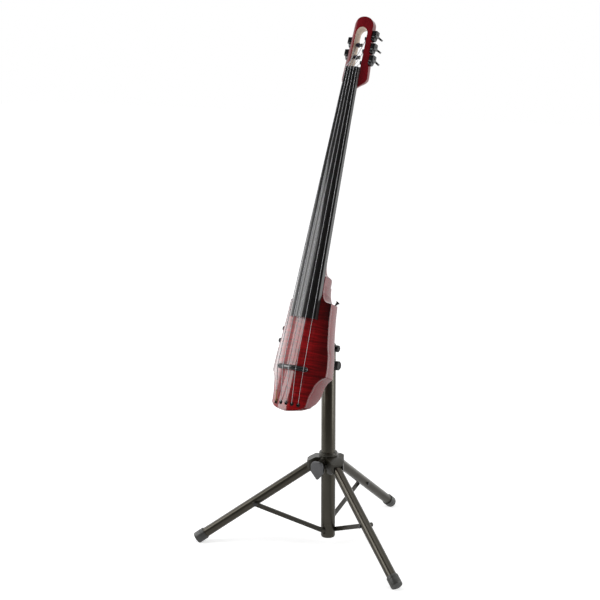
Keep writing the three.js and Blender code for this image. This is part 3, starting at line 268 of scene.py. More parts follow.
def flamed_top(graph):
    w = along(graph, ACROSS)
    t = along(graph, UP)
    sway = noise(graph, (w * 8, t * 10, 0), detail=2)
    curl = noise(graph, (w * 16 + sway * 0.8, t * 210 + sway * 7, 0), detail=3, rough=0.55, distort=0.3)
    grain = noise(graph, (w * 900, t * 18, 0), detail=4, rough=0.6)
    patch = noise(graph, (w * 14, t * 9, 3), detail=2)
    flame = curl.step(0.36, 0.66)
    edge = abs(w + 0.004).step(0.028, 0.066)
    upper = t.step(0.06, 0.17)
    dark = graph.math("MAXIMUM", edge * 0.62 + upper * 0.45 + patch * 0.2 - 0.08, 0, clamp=True)
    wood = tint(graph, flame, *TOP_STAIN)
    wood = tint(graph, grain.step(0.35, 0.75) * 0.3, wood, GRAIN_STAIN)
    return tint(graph, dark, wood, EDGE_STAIN), grain * 0.06 + 0.16, grain * 0.25 + flame * 0.2


paints["flamed_top"] = finish(
    "flamed_maple_top", flamed_top, coat=1, coat_rough=0.04, bump=0.02, specular=0.2,
)
print("flamed top under a clear coat")

# %% [markdown]
# The core, the neck and the head are plain wood in the same red, the slot in the head is left bare, and the
# fingerboard is oiled ebony. All three have grain along the neck: the same noise, squeezed sideways.

# %% Plain woods
SIDE_STAIN, SIDE_GRAIN = (srgb("560510"), srgb("960f1c")), srgb("420408")
MAPLE = (srgb("d2b79f"), srgb("f2e2d0"))
EBONY = (srgb("0c0c0b"), srgb("221f1c"))


def red_side(graph):
    w, h, t = (along(graph, direction) for direction in (ACROSS, OUT, UP))
    grain = noise(graph, (w * 500, t * 12, h * 500), detail=4, rough=0.6)
    cloud = noise(graph, (w * 20, t * 16, h * 20), detail=2)
    base = tint(graph, cloud, *SIDE_STAIN)
    return tint(graph, grain.step(0.4, 0.8) * 0.4, base, SIDE_GRAIN), grain * 0.08 + 0.18, grain


def bare_maple(graph):
    h, t = (along(graph, direction) for direction in (OUT, UP))
    grain = noise(graph, (h * 300, t * 12, 0), detail=4, rough=0.6)
    cloud = noise(graph, (h * 30, t * 20, 0), detail=2)
    return tint(graph, grain * 0.6 + cloud * 0.4, *MAPLE), grain * 0.2 + 0.35, grain


def ebony(graph):
    w, t = (along(graph, direction) for direction in (ACROSS, UP))
    grain = noise(graph, (w * 700, t * 14, 0), detail=5, rough=0.65)
    smudge = noise(graph, (w * 60, t * 25, 0), detail=3)
    return tint(graph, grain.step(0.45, 0.8), *EBONY), smudge * 0.18 + grain * 0.1 + 0.22, grain


paints["red_wood"] = finish("red_lacquered_wood", red_side, coat=1, bump=0.02, specular=0.2)
paints["bare_maple"] = finish("bare_maple", bare_maple, coat=0.3, coat_rough=0.2, bump=0.03)
paints["ebony"] = finish("oiled_ebony", ebony, coat=0.9, coat_rough=0.09, bump=0.03, specular=0.2)
print("red wood, bare maple and ebony")

# %% [markdown]
# Metal, plastic, rubber and paint look even from afar, but up close no real one has a single colour or one
# gloss. One recipe serves them all: a soft cloud and a fine speck, each with its own size, shift the colour,
# and the speck also breaks the gloss and gives the faintest relief.

# %% Plain finishes
def plain(low, high, rough, rough_span, fine=260, coarse=30):
    """An even finish: fine and coarse are the sizes of its speck and its cloud, counted per metre."""
    def build(graph):
        where = graph.node("ShaderNodeTexCoord", out="Object")
        speck = noise(graph, where, fine, detail=4, rough=0.6)
        cloud = noise(graph, where, coarse, detail=3)
        color = tint(graph, cloud * 0.6 + speck * 0.4, srgb(low), srgb(high))
        return color, speck * rough_span + rough, speck
    return build


def metal(name, low, high, rough, rough_span, fine, bump=0.03):
    return finish(name, plain(low, high, rough, rough_span, fine), metallic=1, bump=bump)


def moulded(name, low, high, rough, rough_span, fine, bump=0.03, **gloss):
    return finish(name, plain(low, high, rough, rough_span, fine), bump=bump, **gloss)


paints["polished_metal"] = metal("polished_metal", "b8b9bc", "d8d9db", 0.1, 0.12, 500, bump=0.02)
paints["plain_steel"] = metal("plain_steel", "8d8e90", "b5b6b8", 0.25, 0.2, 700)
paints["dark_steel"] = metal("dark_steel", "4b4b4c", "6a6a6b", 0.22, 0.2, 600)
paints["brass"] = metal("brass", "8a6a34", "b89254", 0.25, 0.2, 500)
paints["black_plastic"] = moulded("black_plastic", "111113", "1d1d20", 0.3, 0.2, 900)
paints["flat_black"] = moulded("dull_black", "060606", "101010", 0.45, 0.2, 700, specular=0.15)
paints["knob_black"] = moulded("moulded_black", "0a0a0b", "161617", 0.3, 0.15, 800, specular=0.3)
paints["gloss_black"] = moulded("polished_black", "08080a", "121214", 0.1, 0.08, 700, bump=0.01, coat=1)
paints["rubber"] = moulded("dull_rubber", "2b2b28", "3e3e3a", 0.36, 0.2, 600, 0.06, coat=0.3, coat_rough=0.3)
print(len(paints), "finishes so far")

# %% [markdown]
# The stand is painted metal: a brownish black that mirrors a little. A part metallic value under a thin coat
# gives the broad, soft streaks that such tubes show in the photo, which neither metal nor plastic gives.

# %% Painted metal
lacquer = plain("08080a", "131315", 0.2, 0.15, 800)
tube_paint = plain("343128", "4a463d", 0.24, 0.14, 1100, 22)
casting_paint = plain("24221a", "38352b", 0.28, 0.2, 700, 26)
paints["black_metal"] = finish(
    "black_lacquered_metal", lacquer, metallic=0.2, coat=0.4, coat_rough=0.1, bump=0.03,
)
paints["stand_tube"] = finish(
    "satin_black_tube", tube_paint, metallic=0.75, coat=0.2, coat_rough=0.16, bump=0.03,
)
paints["stand_casting"] = finish(
    "painted_casting", casting_paint, metallic=0.5, coat=0.25, coat_rough=0.16, bump=0.06,
)
print("paint for tubes, casting and small fittings")

# %% [markdown]
# A string is fine wire wound round a core, with silk wound over its two ends. The ridges of a winding are too
# fine to model, so they are a sine wave along the string. The wave gives the relief, and it also makes the
# colour darker in the grooves and lighter on the crests, as painted shade. It reads the string's length from
# a
# UV map, because the pattern has to follow the bends, and adds the turn round the string to become a helix.

# %% Wound strings
RIDGES_PER_METRE = 9000


def wound(low, high):
    def build(graph):
        lengthwise = graph.node("ShaderNodeUVMap")
        turn = graph.node("ShaderNodeSeparateXYZ", {}, {0: lengthwise}, "X")
        length = graph.node("ShaderNodeSeparateXYZ", {}, {0: lengthwise}, "Y")
        ridge = graph.math("SINE", length * RIDGES_PER_METRE + turn * math.tau) * 0.5 + 0.5
        wear = noise(graph, (length * 90, turn * 3, 0), detail=3)
        # painted shade: the ridge share darkens the colour in the grooves between turns and lightens the
        # crests; wear is a random tone
        color = tint(graph, ridge * 0.6 + wear * 0.4, srgb(low), srgb(high))
        return color, wear * 0.2 + 0.24, ridge
    return build


paints["string_steel"] = finish("wound_steel", wound("77777a", "c9c9cc"), metallic=1, bump=0.08)
paints["silk"] = finish("string_end_silk", wound("1d142b", "3b2c55"), bump=0.12)
paints["gold_silk"] = finish("string_tail_silk", wound("7a5a14", "c79a3a"), bump=0.12)
print(len(paints), "finishes in all")

# %% [markdown]
# Three tools make nearly every piece, each from a few vertices and one of bmesh's operators. `lofted` bridges
# ring to ring, for forms that change along their length. `turned` spins a profile, as a lathe does. `drawn`
# extrudes an outline and bevels its rim. Each part's faces are turned outwards before it joins others.

# %% Lofted and turned bodies
WELD = 0.005


def ring_of(bm, points):
    """A closed line of new vertices and edges."""
    verts = [bm.verts.new(point) for point in points]
    return [bm.edges.new(pair) for pair in zip(verts, verts[1:] + verts[:1])]


def lofted(bm, rings):
    """A closed skin from ring to ring."""
    lines = [ring_of(bm, points) for points in rings]
    for low, high in zip(lines, lines[1:]):
        bmesh.ops.bridge_loops(bm, edges=low + high)
    for end in (lines[0], lines[-1]):
        bmesh.ops.contextual_create(bm, geom=end)


def added(bm, part):
    """Moves a closed part into a bmesh that may hold others."""
    bmesh.ops.recalc_face_normals(part, faces=part.faces)
    mesh = bpy.data.meshes.new("part")
    part.to_mesh(mesh)
    part.free()
    bm.from_mesh(mesh)
    bpy.data.meshes.remove(mesh)


def turned(bm, profile, origin, axis, steps=64):
    """A turned body from a profile of (radius, distance along the axis) in millimetres."""
    axis = axis.normalized()
    side = axis.orthogonal().normalized()
    part = bmesh.new()
    line = ring_of(part, [origin + (side * radius + axis * reach) * MM for radius, reach in profile])
    for edge, (radius, _), (after, _) in zip(line, profile, [*profile[1:], profile[0]]):
        if radius == after == 0:
            part.edges.remove(edge)
    bmesh.ops.spin(
        part, geom=part.verts[:] + part.edges[:], cent=origin, axis=axis, angle=math.tau, steps=steps,
        use_merge=True,
    )
    bmesh.ops.remove_doubles(part, verts=part.verts, dist=WELD * MM)
    added(bm, part)


print("bodies can be lofted and turned")

# %% Drawn bodies
RIM_ANGLE = 0.9


def drawn(bm, outline, x, y, low, high, origin, edge=0.0):
    """An outline in millimetres on directions x and y, drawn out along their normal, its rim rounded."""
    normal = x.cross(y)
    part = bmesh.new()
    line = ring_of(part, [origin + (x * a + y * b + normal * low) * MM for a, b in outline])
    sheet = bmesh.ops.contextual_create(part, geom=line)["faces"]
    grown = bmesh.ops.extrude_face_region(part, geom=sheet)["geom"]
    lifted = [item for item in grown if isinstance(item, bmesh.types.BMVert)]
    bmesh.ops.translate(part, verts=lifted, vec=normal * (high - low) * MM)
    if edge:
        bmesh.ops.recalc_face_normals(part, faces=part.faces)
        rims = [side for side in part.edges if side.calc_face_angle(0) > RIM_ANGLE]
        bmesh.ops.bevel(
            part, geom=rims, offset=edge * MM, offset_type="OFFSET", affect="EDGES", segments=3,
            profile=0.5, clamp_overlap=True, material=-1,
        )
    added(bm, part)


print("outlines can be drawn out")

# %% [markdown]
# Outlines and routes have few points of their own. A smooth curve through the points, or a small arc at each
# corner, fills in the rest, so a shape can be changed by moving one number.

# %% Lines through few points
def curve(points, per=8):
    """A smooth line through points, with its ends kept."""
    points = [Vector(p) for p in points]
    ends = [points[0] * 2 - points[1], *points, points[-1] * 2 - points[-2]]
    line = []
    for a, b, c, d in zip(ends, ends[1:], ends[2:], ends[3:]):
        for k in range(per):
            s = k / per
            pull = (c - a) * s + (2 * a - 5 * b + 4 * c - d) * s ** 2 + (3 * b - a - 3 * c + d) * s ** 3
            line.append(b + pull / 2)
    return [*line, points[-1]]


def between(line, t):
    """Reads a broken line of (place, value) points."""
    for (t0, a), (t1, b) in zip(line, line[1:]):
        if t <= t1:
            return a + (b - a) * (t - t0) / (t1 - t0)


def box_line(left, right, low, high):
    return [(left, low), (right, low), (right, high), (left, high)]


def softened(profile, radius, cuts=3):
    """Rounds each corner of a closed outline of (x, y) pairs."""
    line = []
    for i, corner in enumerate(profile):
        here = Vector(corner)
        before = Vector(profile[i - 1]) - here
        after = Vector(profile[(i + 1) % len(profile)]) - here
        reach = min(radius, before.length * 0.45, after.length * 0.45)
        start = here + before.normalized() * reach
        end = here + after.normalized() * reach
        for k in range(cuts + 1):
            s = k / cuts
            line.append(tuple(start * (1 - s) ** 2 + here * 2 * s * (1 - s) + end * s ** 2))
    return line


print("a square with soft corners has", len(softened(box_line(0, 1, 0, 1), 0.2)), "points")

# %% [markdown]
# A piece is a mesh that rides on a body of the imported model, in place of the plain solid it replaces. Its
# faces are shaded smooth, and only edges that are sharper than an angle stay crisp.

# %% Pieces
SHARP_ANGLE = math.radians(35)


def shaded(mesh):
    mesh.shade_smooth()
    mesh.set_sharp_from_angle(angle=SHARP_ANGLE)


def made(name, bm, paint, body, replaces=(), parts=None):
    """Turns a bmesh into a finished piece that rides on a body."""
    bmesh.ops.recalc_face_normals(bm, faces=bm.faces)
    mesh = bpy.data.meshes.new(name)
    bm.to_mesh(mesh)
    bm.free()
    piece = bpy.data.objects.new(name, mesh)
    scene.collection.objects.link(piece)
    for key in parts or [paint]:
        mesh.materials.append(paints[key])
    shaded(mesh)
    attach(piece, body)
    if replaces:
        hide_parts(*replaces)
    return piece


print("pieces can be made")

# %% [markdown]
# Some solids already have the right shape. They keep their mesh and get fine rounded edges from a live
# Bevel modifier, since no real edge is a line. A Weld modifier comes first, because the solids are loose
# triangles and an edge has to be shared to be rounded.

# %% Rounded edges
def eased(piece, width, angle, segments):
    """Rounds the edges of a piece with a live modifier."""
    change = piece.modifiers.new("edges", "BEVEL")
    change.width = width * MM
    change.segments = segments
    change.limit_method = "ANGLE"
    change.angle_limit = math.radians(angle)
    change.harden_normals = True
    return piece


def dressed(node, paint, bevel):
    """A CAD node that keeps its own mesh, with clean shading, fine rounded edges and a finish."""
    piece = frame["nodes"][node]
    mesh = piece.data
    mesh.materials.clear()
    mesh.materials.append(paints[paint])
    for polygon in mesh.polygons:
        polygon.material_index = 0
    if mesh.has_custom_normals:
        mesh.attributes.remove(mesh.attributes["custom_normal"])
    mesh.shade_smooth()
    weld = piece.modifiers.new("weld", "WELD")
    weld.merge_threshold = 0.02 * MM
    return eased(piece, bevel, angle=32, segments=2)


print("solids can be dressed")

# %% [markdown]
# Openings are cut with Boolean modifiers. Each is applied at once, so that the cutter can go and the next cut
# starts from a plain mesh.

# %% Cuts
def carved(piece, *tools):
    """Cuts closed shapes out of a piece, in the mesh itself."""
    for tool in tools:
        mesh = bpy.data.meshes.new("tool")
        bmesh.ops.recalc_face_normals(tool, faces=tool.faces)
        tool.to_mesh(mesh)
        tool.free()
        cutter = bpy.data.objects.new("tool", mesh)
        scene.collection.objects.link(cutter)
        change = piece.modifiers.new("cut", "BOOLEAN")
        change.operation = "DIFFERENCE"
        change.solver = "EXACT"
        change.object = cutter
        seen = piece.evaluated_get(bpy.context.evaluated_depsgraph_get())
        fresh = bpy.data.meshes.new_from_object(seen)
        piece.modifiers.clear()
        piece.data = fresh
        bpy.data.objects.remove(cutter)
    return piece


def rod(a, b, radius):
    """A round cutter from a to b."""
    tool = bmesh.new()
    length = (b - a).length / MM
    turned(tool, [(0, 0), (radius, 0), (radius, length), (0, length)], a, b - a, 32)
    return tool


print("pieces can be carved")

# %% [markdown]
# The body of an electric cello is small: a thick core of solid wood under an arched top plate. Its outline
# has a scoop beside the heel, a straight flank, a hollow waist and a round tail. A loft of slices up the neck
# line suits it, because each slice is simple: arched on top, rounded at the rim, upright at the side.

# %% The body's outline and slices
CROWN, ARCH = -20, 82
CORE_GAP, PLATE_THICKNESS, THINNEST_CORE = 0.15, 6, 0.4
BACK_CORNER, BACK_SLOPE, BACK_START = -83.5, 0.0867, -7
TAIL_BACK = ((-98, -27), (-68, -77), (-55, -87.6))
ARCH_STEPS, UNDER_STEPS, ROUND_STEPS = 40, 20, 5
ROUND_SHARE = 0.4

scoop = curve([
    (32, 195), (32.2, 187), (32.8, 179), (34.6, 170.5), (38, 163), (43, 158.4), (48.6, 157.3), (53.2, 157),
], 6)
flank = curve([(53.4, 156.2), (54, 150), (56, 117), (62, 64), (66.9, 38), (69.4, 12), (70, -7)], 8)
waist = curve([
    (69.7, -8), (61.2, -16), (56.3, -23.5), (52.6, -32), (50, -44), (46.4, -57.5), (44, -80.4),
], 7)
tail = curve([(43.3, -81.6), (36, -88), (26, -92.3), (15, -95), (7, -96.4), (1.5, -97)], 6)
body_line = []
for w, t in (*scoop, *flank, *waist, *tail):
    if not body_line or t < body_line[-1][1] - 0.02:
        body_line.append((w, t))


def crown(w):
    """How high the arched top is at a distance from its middle."""
    return CROWN - w * w / (2 * ARCH)


def plate_under(w):
    return crown(w) - PLATE_THICKNESS


def core_top(w):
    return crown(w) - PLATE_THICKNESS - CORE_GAP


def back_of(t):
    """The back: a steep run from the tail, a short chamfer and a long slope."""
    if t <= TAIL_BACK[-1][0]:
        return between(TAIL_BACK, t)
    return BACK_CORNER + BACK_SLOPE * (t - BACK_START)


def slice_ring(half, t, top, low, rim, foot):
    """One slice: arched top, rounded rims, walls, rounded feet and underside."""
    rim = min(rim, half * ROUND_SHARE)
    foot = min(foot, half * ROUND_SHARE)
    top_half, low_half = half - rim, half - foot
    side = []
    for k in range(1, ROUND_STEPS + 1):
        a = math.pi / 2 * k / ROUND_STEPS
        side.append((top_half + rim * math.sin(a), top(top_half) - rim * (1 - math.cos(a))))
    for k in range(ROUND_STEPS + 1):
        a = math.pi / 2 * k / ROUND_STEPS
        side.append((low_half + foot * math.cos(a), low(half) + foot * (1 - math.sin(a))))
    over = [top_half * (1 - 2 * i / ARCH_STEPS) for i in range(ARCH_STEPS + 1)]
    under = [low_half * (2 * i / UNDER_STEPS - 1) for i in range(1, UNDER_STEPS)]
    ring = [(w, top(w)) for w in over]
    ring += [(-w, h) for w, h in side]
    ring += [(w, low(w)) for w in under]
    ring += reversed(side)
    return [at(w, h, t) for w, h in ring]


print("outline of", len(body_line), "slices")

# %% [markdown]
# Plate and core are two lofts with a hair of room between them. The figured wood is a veneer: it shows on the
# front alone, and the rim of the plate is stained like the core, so the faces are told apart by their
# direction. The core's rounding grows towards the heel.

# %% Top plate and core
PLATE_RIM, PLATE_FOOT, CORE_RIM, CORE_FOOT = 1.6, 0.3, 0.4, 3
FOOT_GROWS_FROM, FOOT_GROWTH = 165, 0.1
FRONT_FACING = 0.45

bm = bmesh.new()
lofted(bm, [slice_ring(w, t, crown, plate_under, PLATE_RIM, PLATE_FOOT) for w, t in body_line])
top_plate = made(
    "cello_top_plate", bm, "flamed_top", "cello", ["top_plate"], parts=["flamed_top", "red_wood"],
)
for polygon in top_plate.data.polygons:
    polygon.material_index = 1 if polygon.normal.dot(OUT) < FRONT_FACING else 0


def core_ring(half, t):
    """A slice of the core."""
    def low(w):
        return min(back_of(t), core_top(w) - THINNEST_CORE)
    foot = CORE_FOOT + max(0, t - FOOT_GROWS_FROM) * FOOT_GROWTH
    return slice_ring(half, t, core_top, low, CORE_RIM, foot)


bm = bmesh.new()
lofted(bm, [core_ring(w, t) for w, t in body_line])
body_core = made("cello_body_core", bm, "red_wood", "cello", ["body_core"])
print("top plate with", len(top_plate.data.polygons), "faces, core with", len(body_core.data.polygons))

# %% [markdown]
# The strings go through the top into the tail. Each hole is bored through plate and core and slightly
# countersunk. The plate's cutter is turned with the countersink in its profile, so one cut makes both.

# %% String holes
STRING_COUNT = 5
TAIL_GAP, BRIDGE_GAP, NUT_GAP = 14.4, 17, 7
TAIL_HOLE, HOLE_RADIUS, SINK_RADIUS = -80, 3.3, 4.6
HOLE_BOTTOM = -50


def across_strings(i, gap):
    """How far string i lies from the middle one, at a given spacing."""
    return (i - 2) * gap


plate_holes, core_holes = [], []
for i in range(STRING_COUNT):
    w = across_strings(i, TAIL_GAP)
    sink = [(0, -14), (HOLE_RADIUS, -14), (HOLE_RADIUS, -1), (SINK_RADIUS, 0.3), (SINK_RADIUS, 6), (0, 6)]
    hole = bmesh.new()
    turned(hole, sink, at(w, crown(w), TAIL_HOLE), OUT, steps=40)
    plate_holes.append(hole)
    core_holes.append(rod(at(w, HOLE_BOTTOM, TAIL_HOLE), at(w, 0, TAIL_HOLE), HOLE_RADIUS))
carved(top_plate, *plate_holes)
carved(body_core, *core_holes)
print(STRING_COUNT, "string holes")

# %% [markdown]
# On the back a black plastic cover closes the room of the controls. It is let into the wood with a hair of
# room round it, and four small screws hold it. Recess and cover come from one outline with two insets.

# %% Control cover
COVER_OUTER, COVER_INNER, COVER_START, COVER_END = -54, -17.5, 41, 111
COVER_ROOM, COVER_SUNK, RECESS_DEPTH, COVER_DEPTH = 0.3, 0.05, 2.7, 2.4
COVER_CORNER, CORNER_STEPS = 5, 6
OUTSIDE_BACK = -8
SCREW_INSET = 4
SCREW_HEAD = ((0, -0.5), (1.6, -0.5), (2.3, 0.2), (2.3, 0.6), (0, 0.6))
BACK_TILT = math.atan(BACK_SLOPE)
along_back = (UP * math.cos(BACK_TILT) + OUT * math.sin(BACK_TILT)).normalized()
off_back = ACROSS.cross(along_back).normalized()
back_origin = at(0, BACK_CORNER - BACK_SLOPE * BACK_START, 0)


def cover_corners(inset):
    return box_line(COVER_OUTER + inset, COVER_INNER - inset, COVER_START + inset, COVER_END - inset)


recess = bmesh.new()
recess_line = softened(cover_corners(0), COVER_CORNER, CORNER_STEPS)
drawn(recess, recess_line, ACROSS, along_back, OUTSIDE_BACK, RECESS_DEPTH, back_origin)
carved(body_core, recess)
bm = bmesh.new()
cover_line = softened(cover_corners(COVER_ROOM), COVER_CORNER, CORNER_STEPS)
drawn(bm, cover_line, ACROSS, along_back, COVER_SUNK, COVER_DEPTH, back_origin, edge=0.4)
for w, t in cover_corners(SCREW_INSET):
    place = back_origin + (ACROSS * w + along_back * t) * MM
    turned(bm, SCREW_HEAD, place, off_back, steps=24)
made("control_cover_plate", bm, "black_plastic", "cello", ["control_cover"])
print("control cover", COVER_INNER - COVER_OUTER, "by", COVER_END - COVER_START, "mm")

# %% [markdown]
# Neck, heel and head are one piece of wood. Seen in slices it changes from a square heel to a round neck and
# back to a flat head, so each slice has a squareness: a power that bends a half circle towards a box.
# Few slices are given and a smooth curve through them gives the rest.

# %% Slices of the neck
SCALE = 698.5
BOARD_START = 115
BASE_LOW, BASE_HIGH, GLUE = -26, -14, 0.3
HEEL_HALF, HEEL_DROP, HEEL_BEND = 32, 1.5, 8
HEAD_FACE, HEAD_ARCH, HEAD_START = -13.5, 45, SCALE + 5
BACK_STEPS, FRONT_STEPS = 48, 32


def up_board(low, high, t):
    """A size that changes evenly up the fingerboard."""
    return low + (high - low) * (t - BOARD_START) / (SCALE - BOARD_START)


def board_base(t):
    return up_board(BASE_LOW, BASE_HIGH, t)


def neck_front(w, t):
    return board_base(min(t, SCALE)) - GLUE


def heel_front(w, t):
    """The heel's front falls away at its two edges."""
    return neck_front(w, t) - HEEL_DROP * (abs(w) / HEEL_HALF) ** HEEL_BEND


def head_front(w, t):
    """The head's front is arched, and lower where the nut sits."""
    arched = HEAD_FACE - w * w / (2 * HEAD_ARCH)
    return min(arched, neck_front(w, t)) if t < HEAD_START else arched


def neck_ring(t, half, depth, square, front):
    """One slice: its back from edge to edge, then its front."""
    edge = front(half, t)
    ring = []
    for i in range(BACK_STEPS + 1):
        angle = math.pi * i / BACK_STEPS
        side = math.cos(angle)
        w = half * math.copysign(abs(side) ** square, side)
        ring.append(at(w, edge + (depth - edge) * math.sin(angle) ** square, t))
    for i in range(1, FRONT_STEPS):
        w = half * (2 * i / FRONT_STEPS - 1)
        ring.append(at(w, front(w, t), t))
    return ring


print("each slice of the neck has", BACK_STEPS + FRONT_STEPS, "points")

# %% [markdown]
# Each slice below is its place up the neck, its half width, the depth of its back and its squareness. The
# heel's slices stand close because it ends in an edge. The round top of the head needs many for its outline.

# %% Neck and head
heel = [
    (190, 31.7, -65.4, 0.22), (200, 31.9, -65.7, 0.22), (209, 31.9, -65.6, 0.22), (213, 31.7, -65.2, 0.24),
    (215, 31, -63.8, 0.28),
]
shaft = curve([
    (217, 29.6, -60.6, 0.34), (219.5, 27.6, -56, 0.42), (222.5, 26.2, -52.6, 0.5), (236, 25.2, -48.3, 0.68),
    (260, 24.6, -45, 0.85), (305, 23.5, -37.4, 0.97), (400, 21.5, -33, 1), (550, 18.8, -29.5, 1),
    (640, 17.3, -27.4, 1), (655, 17.1, -27.7, 0.97),
], 5)
head = curve([
    (657, 17.2, -28, 0.92), (660, 19.2, -29.3, 0.8), (663.5, 22.2, -31.3, 0.68), (668, 26.4, -34, 0.52),
    (673, 30.4, -36.8, 0.4), (678, 32.5, -38.9, 0.33), (683, 33.1, -39.8, 0.3), (703, 32, -40, 0.28),
    (750, 28.2, -40, 0.28), (791, 24.9, -40, 0.28), (805.5, 24.5, -40, 0.28), (813, 23.7, -40, 0.3),
    (819, 21.2, -39.8, 0.33), (823.5, 17.2, -39.4, 0.38), (826.4, 11.6, -38.9, 0.45), (828, 4.5, -38.2, 0.6),
], 5)
rings = [neck_ring(*place, heel_front) for place in heel]
rings += [neck_ring(*place, neck_front) for place in shaft]
rings += [neck_ring(*place, head_front) for place in head]
bm = bmesh.new()
lofted(bm, rings)
neck = made("cello_neck_and_head", bm, "red_wood", "cello", ["neck"], parts=["red_wood", "bare_maple"])
print("neck and head with", len(rings), "slices")

# %% [markdown]
# The head is slotted: the strings wind on posts that cross a long opening. The opening, the ledge of the nut,
# a flat pad for each tuning machine and a bore for each post are cut out of the finished skin. The walls of
# the opening are bare maple, so their faces are found by their place and get the second finish.

# %% Slot, pads and bores
SLOT_HALF, SLOT_START, SLOT_ROUND = 15, 706, 788
LEDGE_HALF, LEDGE_LOW, LEDGE_END = 17.3, SCALE - 0.3, SCALE + 5.3
LEDGE_DEPTH, LEDGE_CLEAR = -14.3, 2
PAD_LOW, PAD_TOP, PAD_ROOM, PAD_REACH, PAD_CUT = 8.3, 17.5, 0.3, 75, 0.3
POST_H, POST_BORE, BORE_PAST = -30, 3.9, 3
BEHIND = -120

# The head's half width at places up the neck
HEAD_EDGE = (
    (657, 17.2), (663, 22), (671, 28.6), (681, 33), (703, 32), (791, 24.8), (809.5, 24.4), (816.5, 23),
)
LEFT, RIGHT = -1, 1

# Each machine: its place up the neck, its side, where its winding starts and where its post ends
MACHINES = (
    (734.5, LEFT, -12, 0), (764, LEFT, -12, 0),
    (780, RIGHT, 12, 4.6), (750, RIGHT, 12, 4.6), (721.5, RIGHT, 12, 4.6),
)


def seat_of(t):
    """How far out a machine sits: the head's half width at the upper end of its pad."""
    return between(HEAD_EDGE, t + PAD_TOP)


slot = bmesh.new()
arc = [math.pi * k / 32 for k in range(33)]
slot_line = [(-SLOT_HALF, SLOT_START), (SLOT_HALF, SLOT_START)]
slot_line += [(SLOT_HALF * math.cos(a), SLOT_ROUND + SLOT_HALF * math.sin(a)) for a in arc]
drawn(slot, slot_line, ACROSS, UP, BEHIND, 0, BRIDGE)
ledge = bmesh.new()
ledge_line = box_line(-LEDGE_HALF, LEDGE_HALF, LEDGE_LOW, LEDGE_END)
drawn(ledge, ledge_line, ACROSS, UP, LEDGE_DEPTH, LEDGE_CLEAR, BRIDGE)
tools = [slot, ledge]
for t, side, _, _ in MACHINES:
    seat = seat_of(t) - PAD_CUT
    pad = bmesh.new()
    pad_line = box_line(side * seat, side * PAD_REACH, t - PAD_LOW, t + PAD_TOP + PAD_ROOM)
    drawn(pad, pad_line, ACROSS, UP, BEHIND, 0, BRIDGE)
    tools += [pad, rod(at(0, POST_H, t), at(side * (seat + BORE_PAST), POST_H, t), POST_BORE)]
carved(neck, *tools)
shaded(neck.data)

BARE_HALF, BARE_START, BARE_END = SLOT_HALF + 0.4, SLOT_START - 1, SLOT_ROUND + SLOT_HALF + 0.5
for polygon in neck.data.polygons:
    place = (polygon.center - BRIDGE) / MM
    inside = abs(place.dot(ACROSS)) < BARE_HALF and BARE_START < place.dot(UP) < BARE_END
    polygon.material_index = 1 if inside and abs(polygon.normal.dot(OUT)) < 0.3 else 0
eased(neck, width=0.7, angle=42, segments=3)
print("head with a slot and", len(MACHINES), "pads")

# %% [markdown]
# The fingerboard is a long wedge of ebony without frets. Its playing face is arched, it narrows towards the
# nut, and its sharp edges are broken so that they don't hurt the hand. Rings at even steps keep the loft
# smooth. Over the body its underside follows the arched top.

# %% Fingerboard
BOARD_HALF_LOW, BOARD_HALF_HIGH = 33.5, 17
BOARD_TOP_LOW, BOARD_TOP_HIGH = -6, -2.9
BOARD_ARCH, BOARD_EDGE, EDGE_BEND = 70, 1.2, 0.35
BODY_END = 195.5
OVER_STEPS, BELOW_STEPS = 40, 20


def board_ring(t):
    half = up_board(BOARD_HALF_LOW, BOARD_HALF_HIGH, t)
    top = up_board(BOARD_TOP_LOW, BOARD_TOP_HIGH, t)
    ring = []
    for i in range(OVER_STEPS + 1):
        w = half * (2 * i / OVER_STEPS - 1)
        inset = max(0, abs(w) - half + BOARD_EDGE)
        ring.append(at(w, top - w * w / (2 * BOARD_ARCH) - inset ** 2 * EDGE_BEND, t))
    for i in range(BELOW_STEPS + 1):
        w = half * (1 - 2 * i / BELOW_STEPS)
        low = max(board_base(t), crown(w) + GLUE) if t < BODY_END else board_base(t)
        ring.append(at(w, low, t))
    return ring


lower_end = [BOARD_START, BOARD_START + 0.4, BOARD_START + 1.2]
over_body = [118 + 77 * i / 14 for i in range(15)]
over_neck = [196, 200] + [210 + 488 * i / 50 for i in range(51)]
bm = bmesh.new()
lofted(bm, [board_ring(t) for t in lower_end + over_body + over_neck])
made("ebony_fingerboard", bm, "ebony", "cello", ["fingerboard"])
print("fingerboard", over_neck[-1] - BOARD_START, "mm long")

# %% [markdown]
# The strings cross two small bars that follow the arch: the nut at the top and the bridge, a layered bar
# with the pickup strip in it. Both are rounded at the ends, so one function lofts them from side to side.

# %% Bridge and nut
SADDLE_TOP, SADDLE_ARCH = -1.3, 80
NUT_TOP, NUT_ARCH = -1.25, 70
BAR_STEPS = 56


def arched_bar(bm, top, depth, half, length, arch, round_end, lip, middle=0.0):
    """A bar across the strings: length is its half length up the neck, lip the rounding of its edges."""
    rings = []
    for i in range(BAR_STEPS + 1):
        w = -half * math.cos(math.pi * i / BAR_STEPS)
        over = max(0, abs(w) - (half - round_end)) / round_end
        reach = length * math.sqrt(max(0.02, 1 - over * over))
        high = top - w * w / (2 * arch)
        low = high - depth
        c = min(lip, reach * 0.45, depth * 0.3)
        corners = ((reach - c, high - c), (c - reach, high - c), (c - reach, low + c), (reach - c, low + c))
        ring = []
        for quarter, (x, y) in enumerate(corners):
            for k in range(5):
                a = math.pi / 2 * (quarter + k / 4)
                ring.append(at(w, y + c * math.sin(a), middle + x + c * math.cos(a)))
        rings.append(ring)
    lofted(bm, rings)


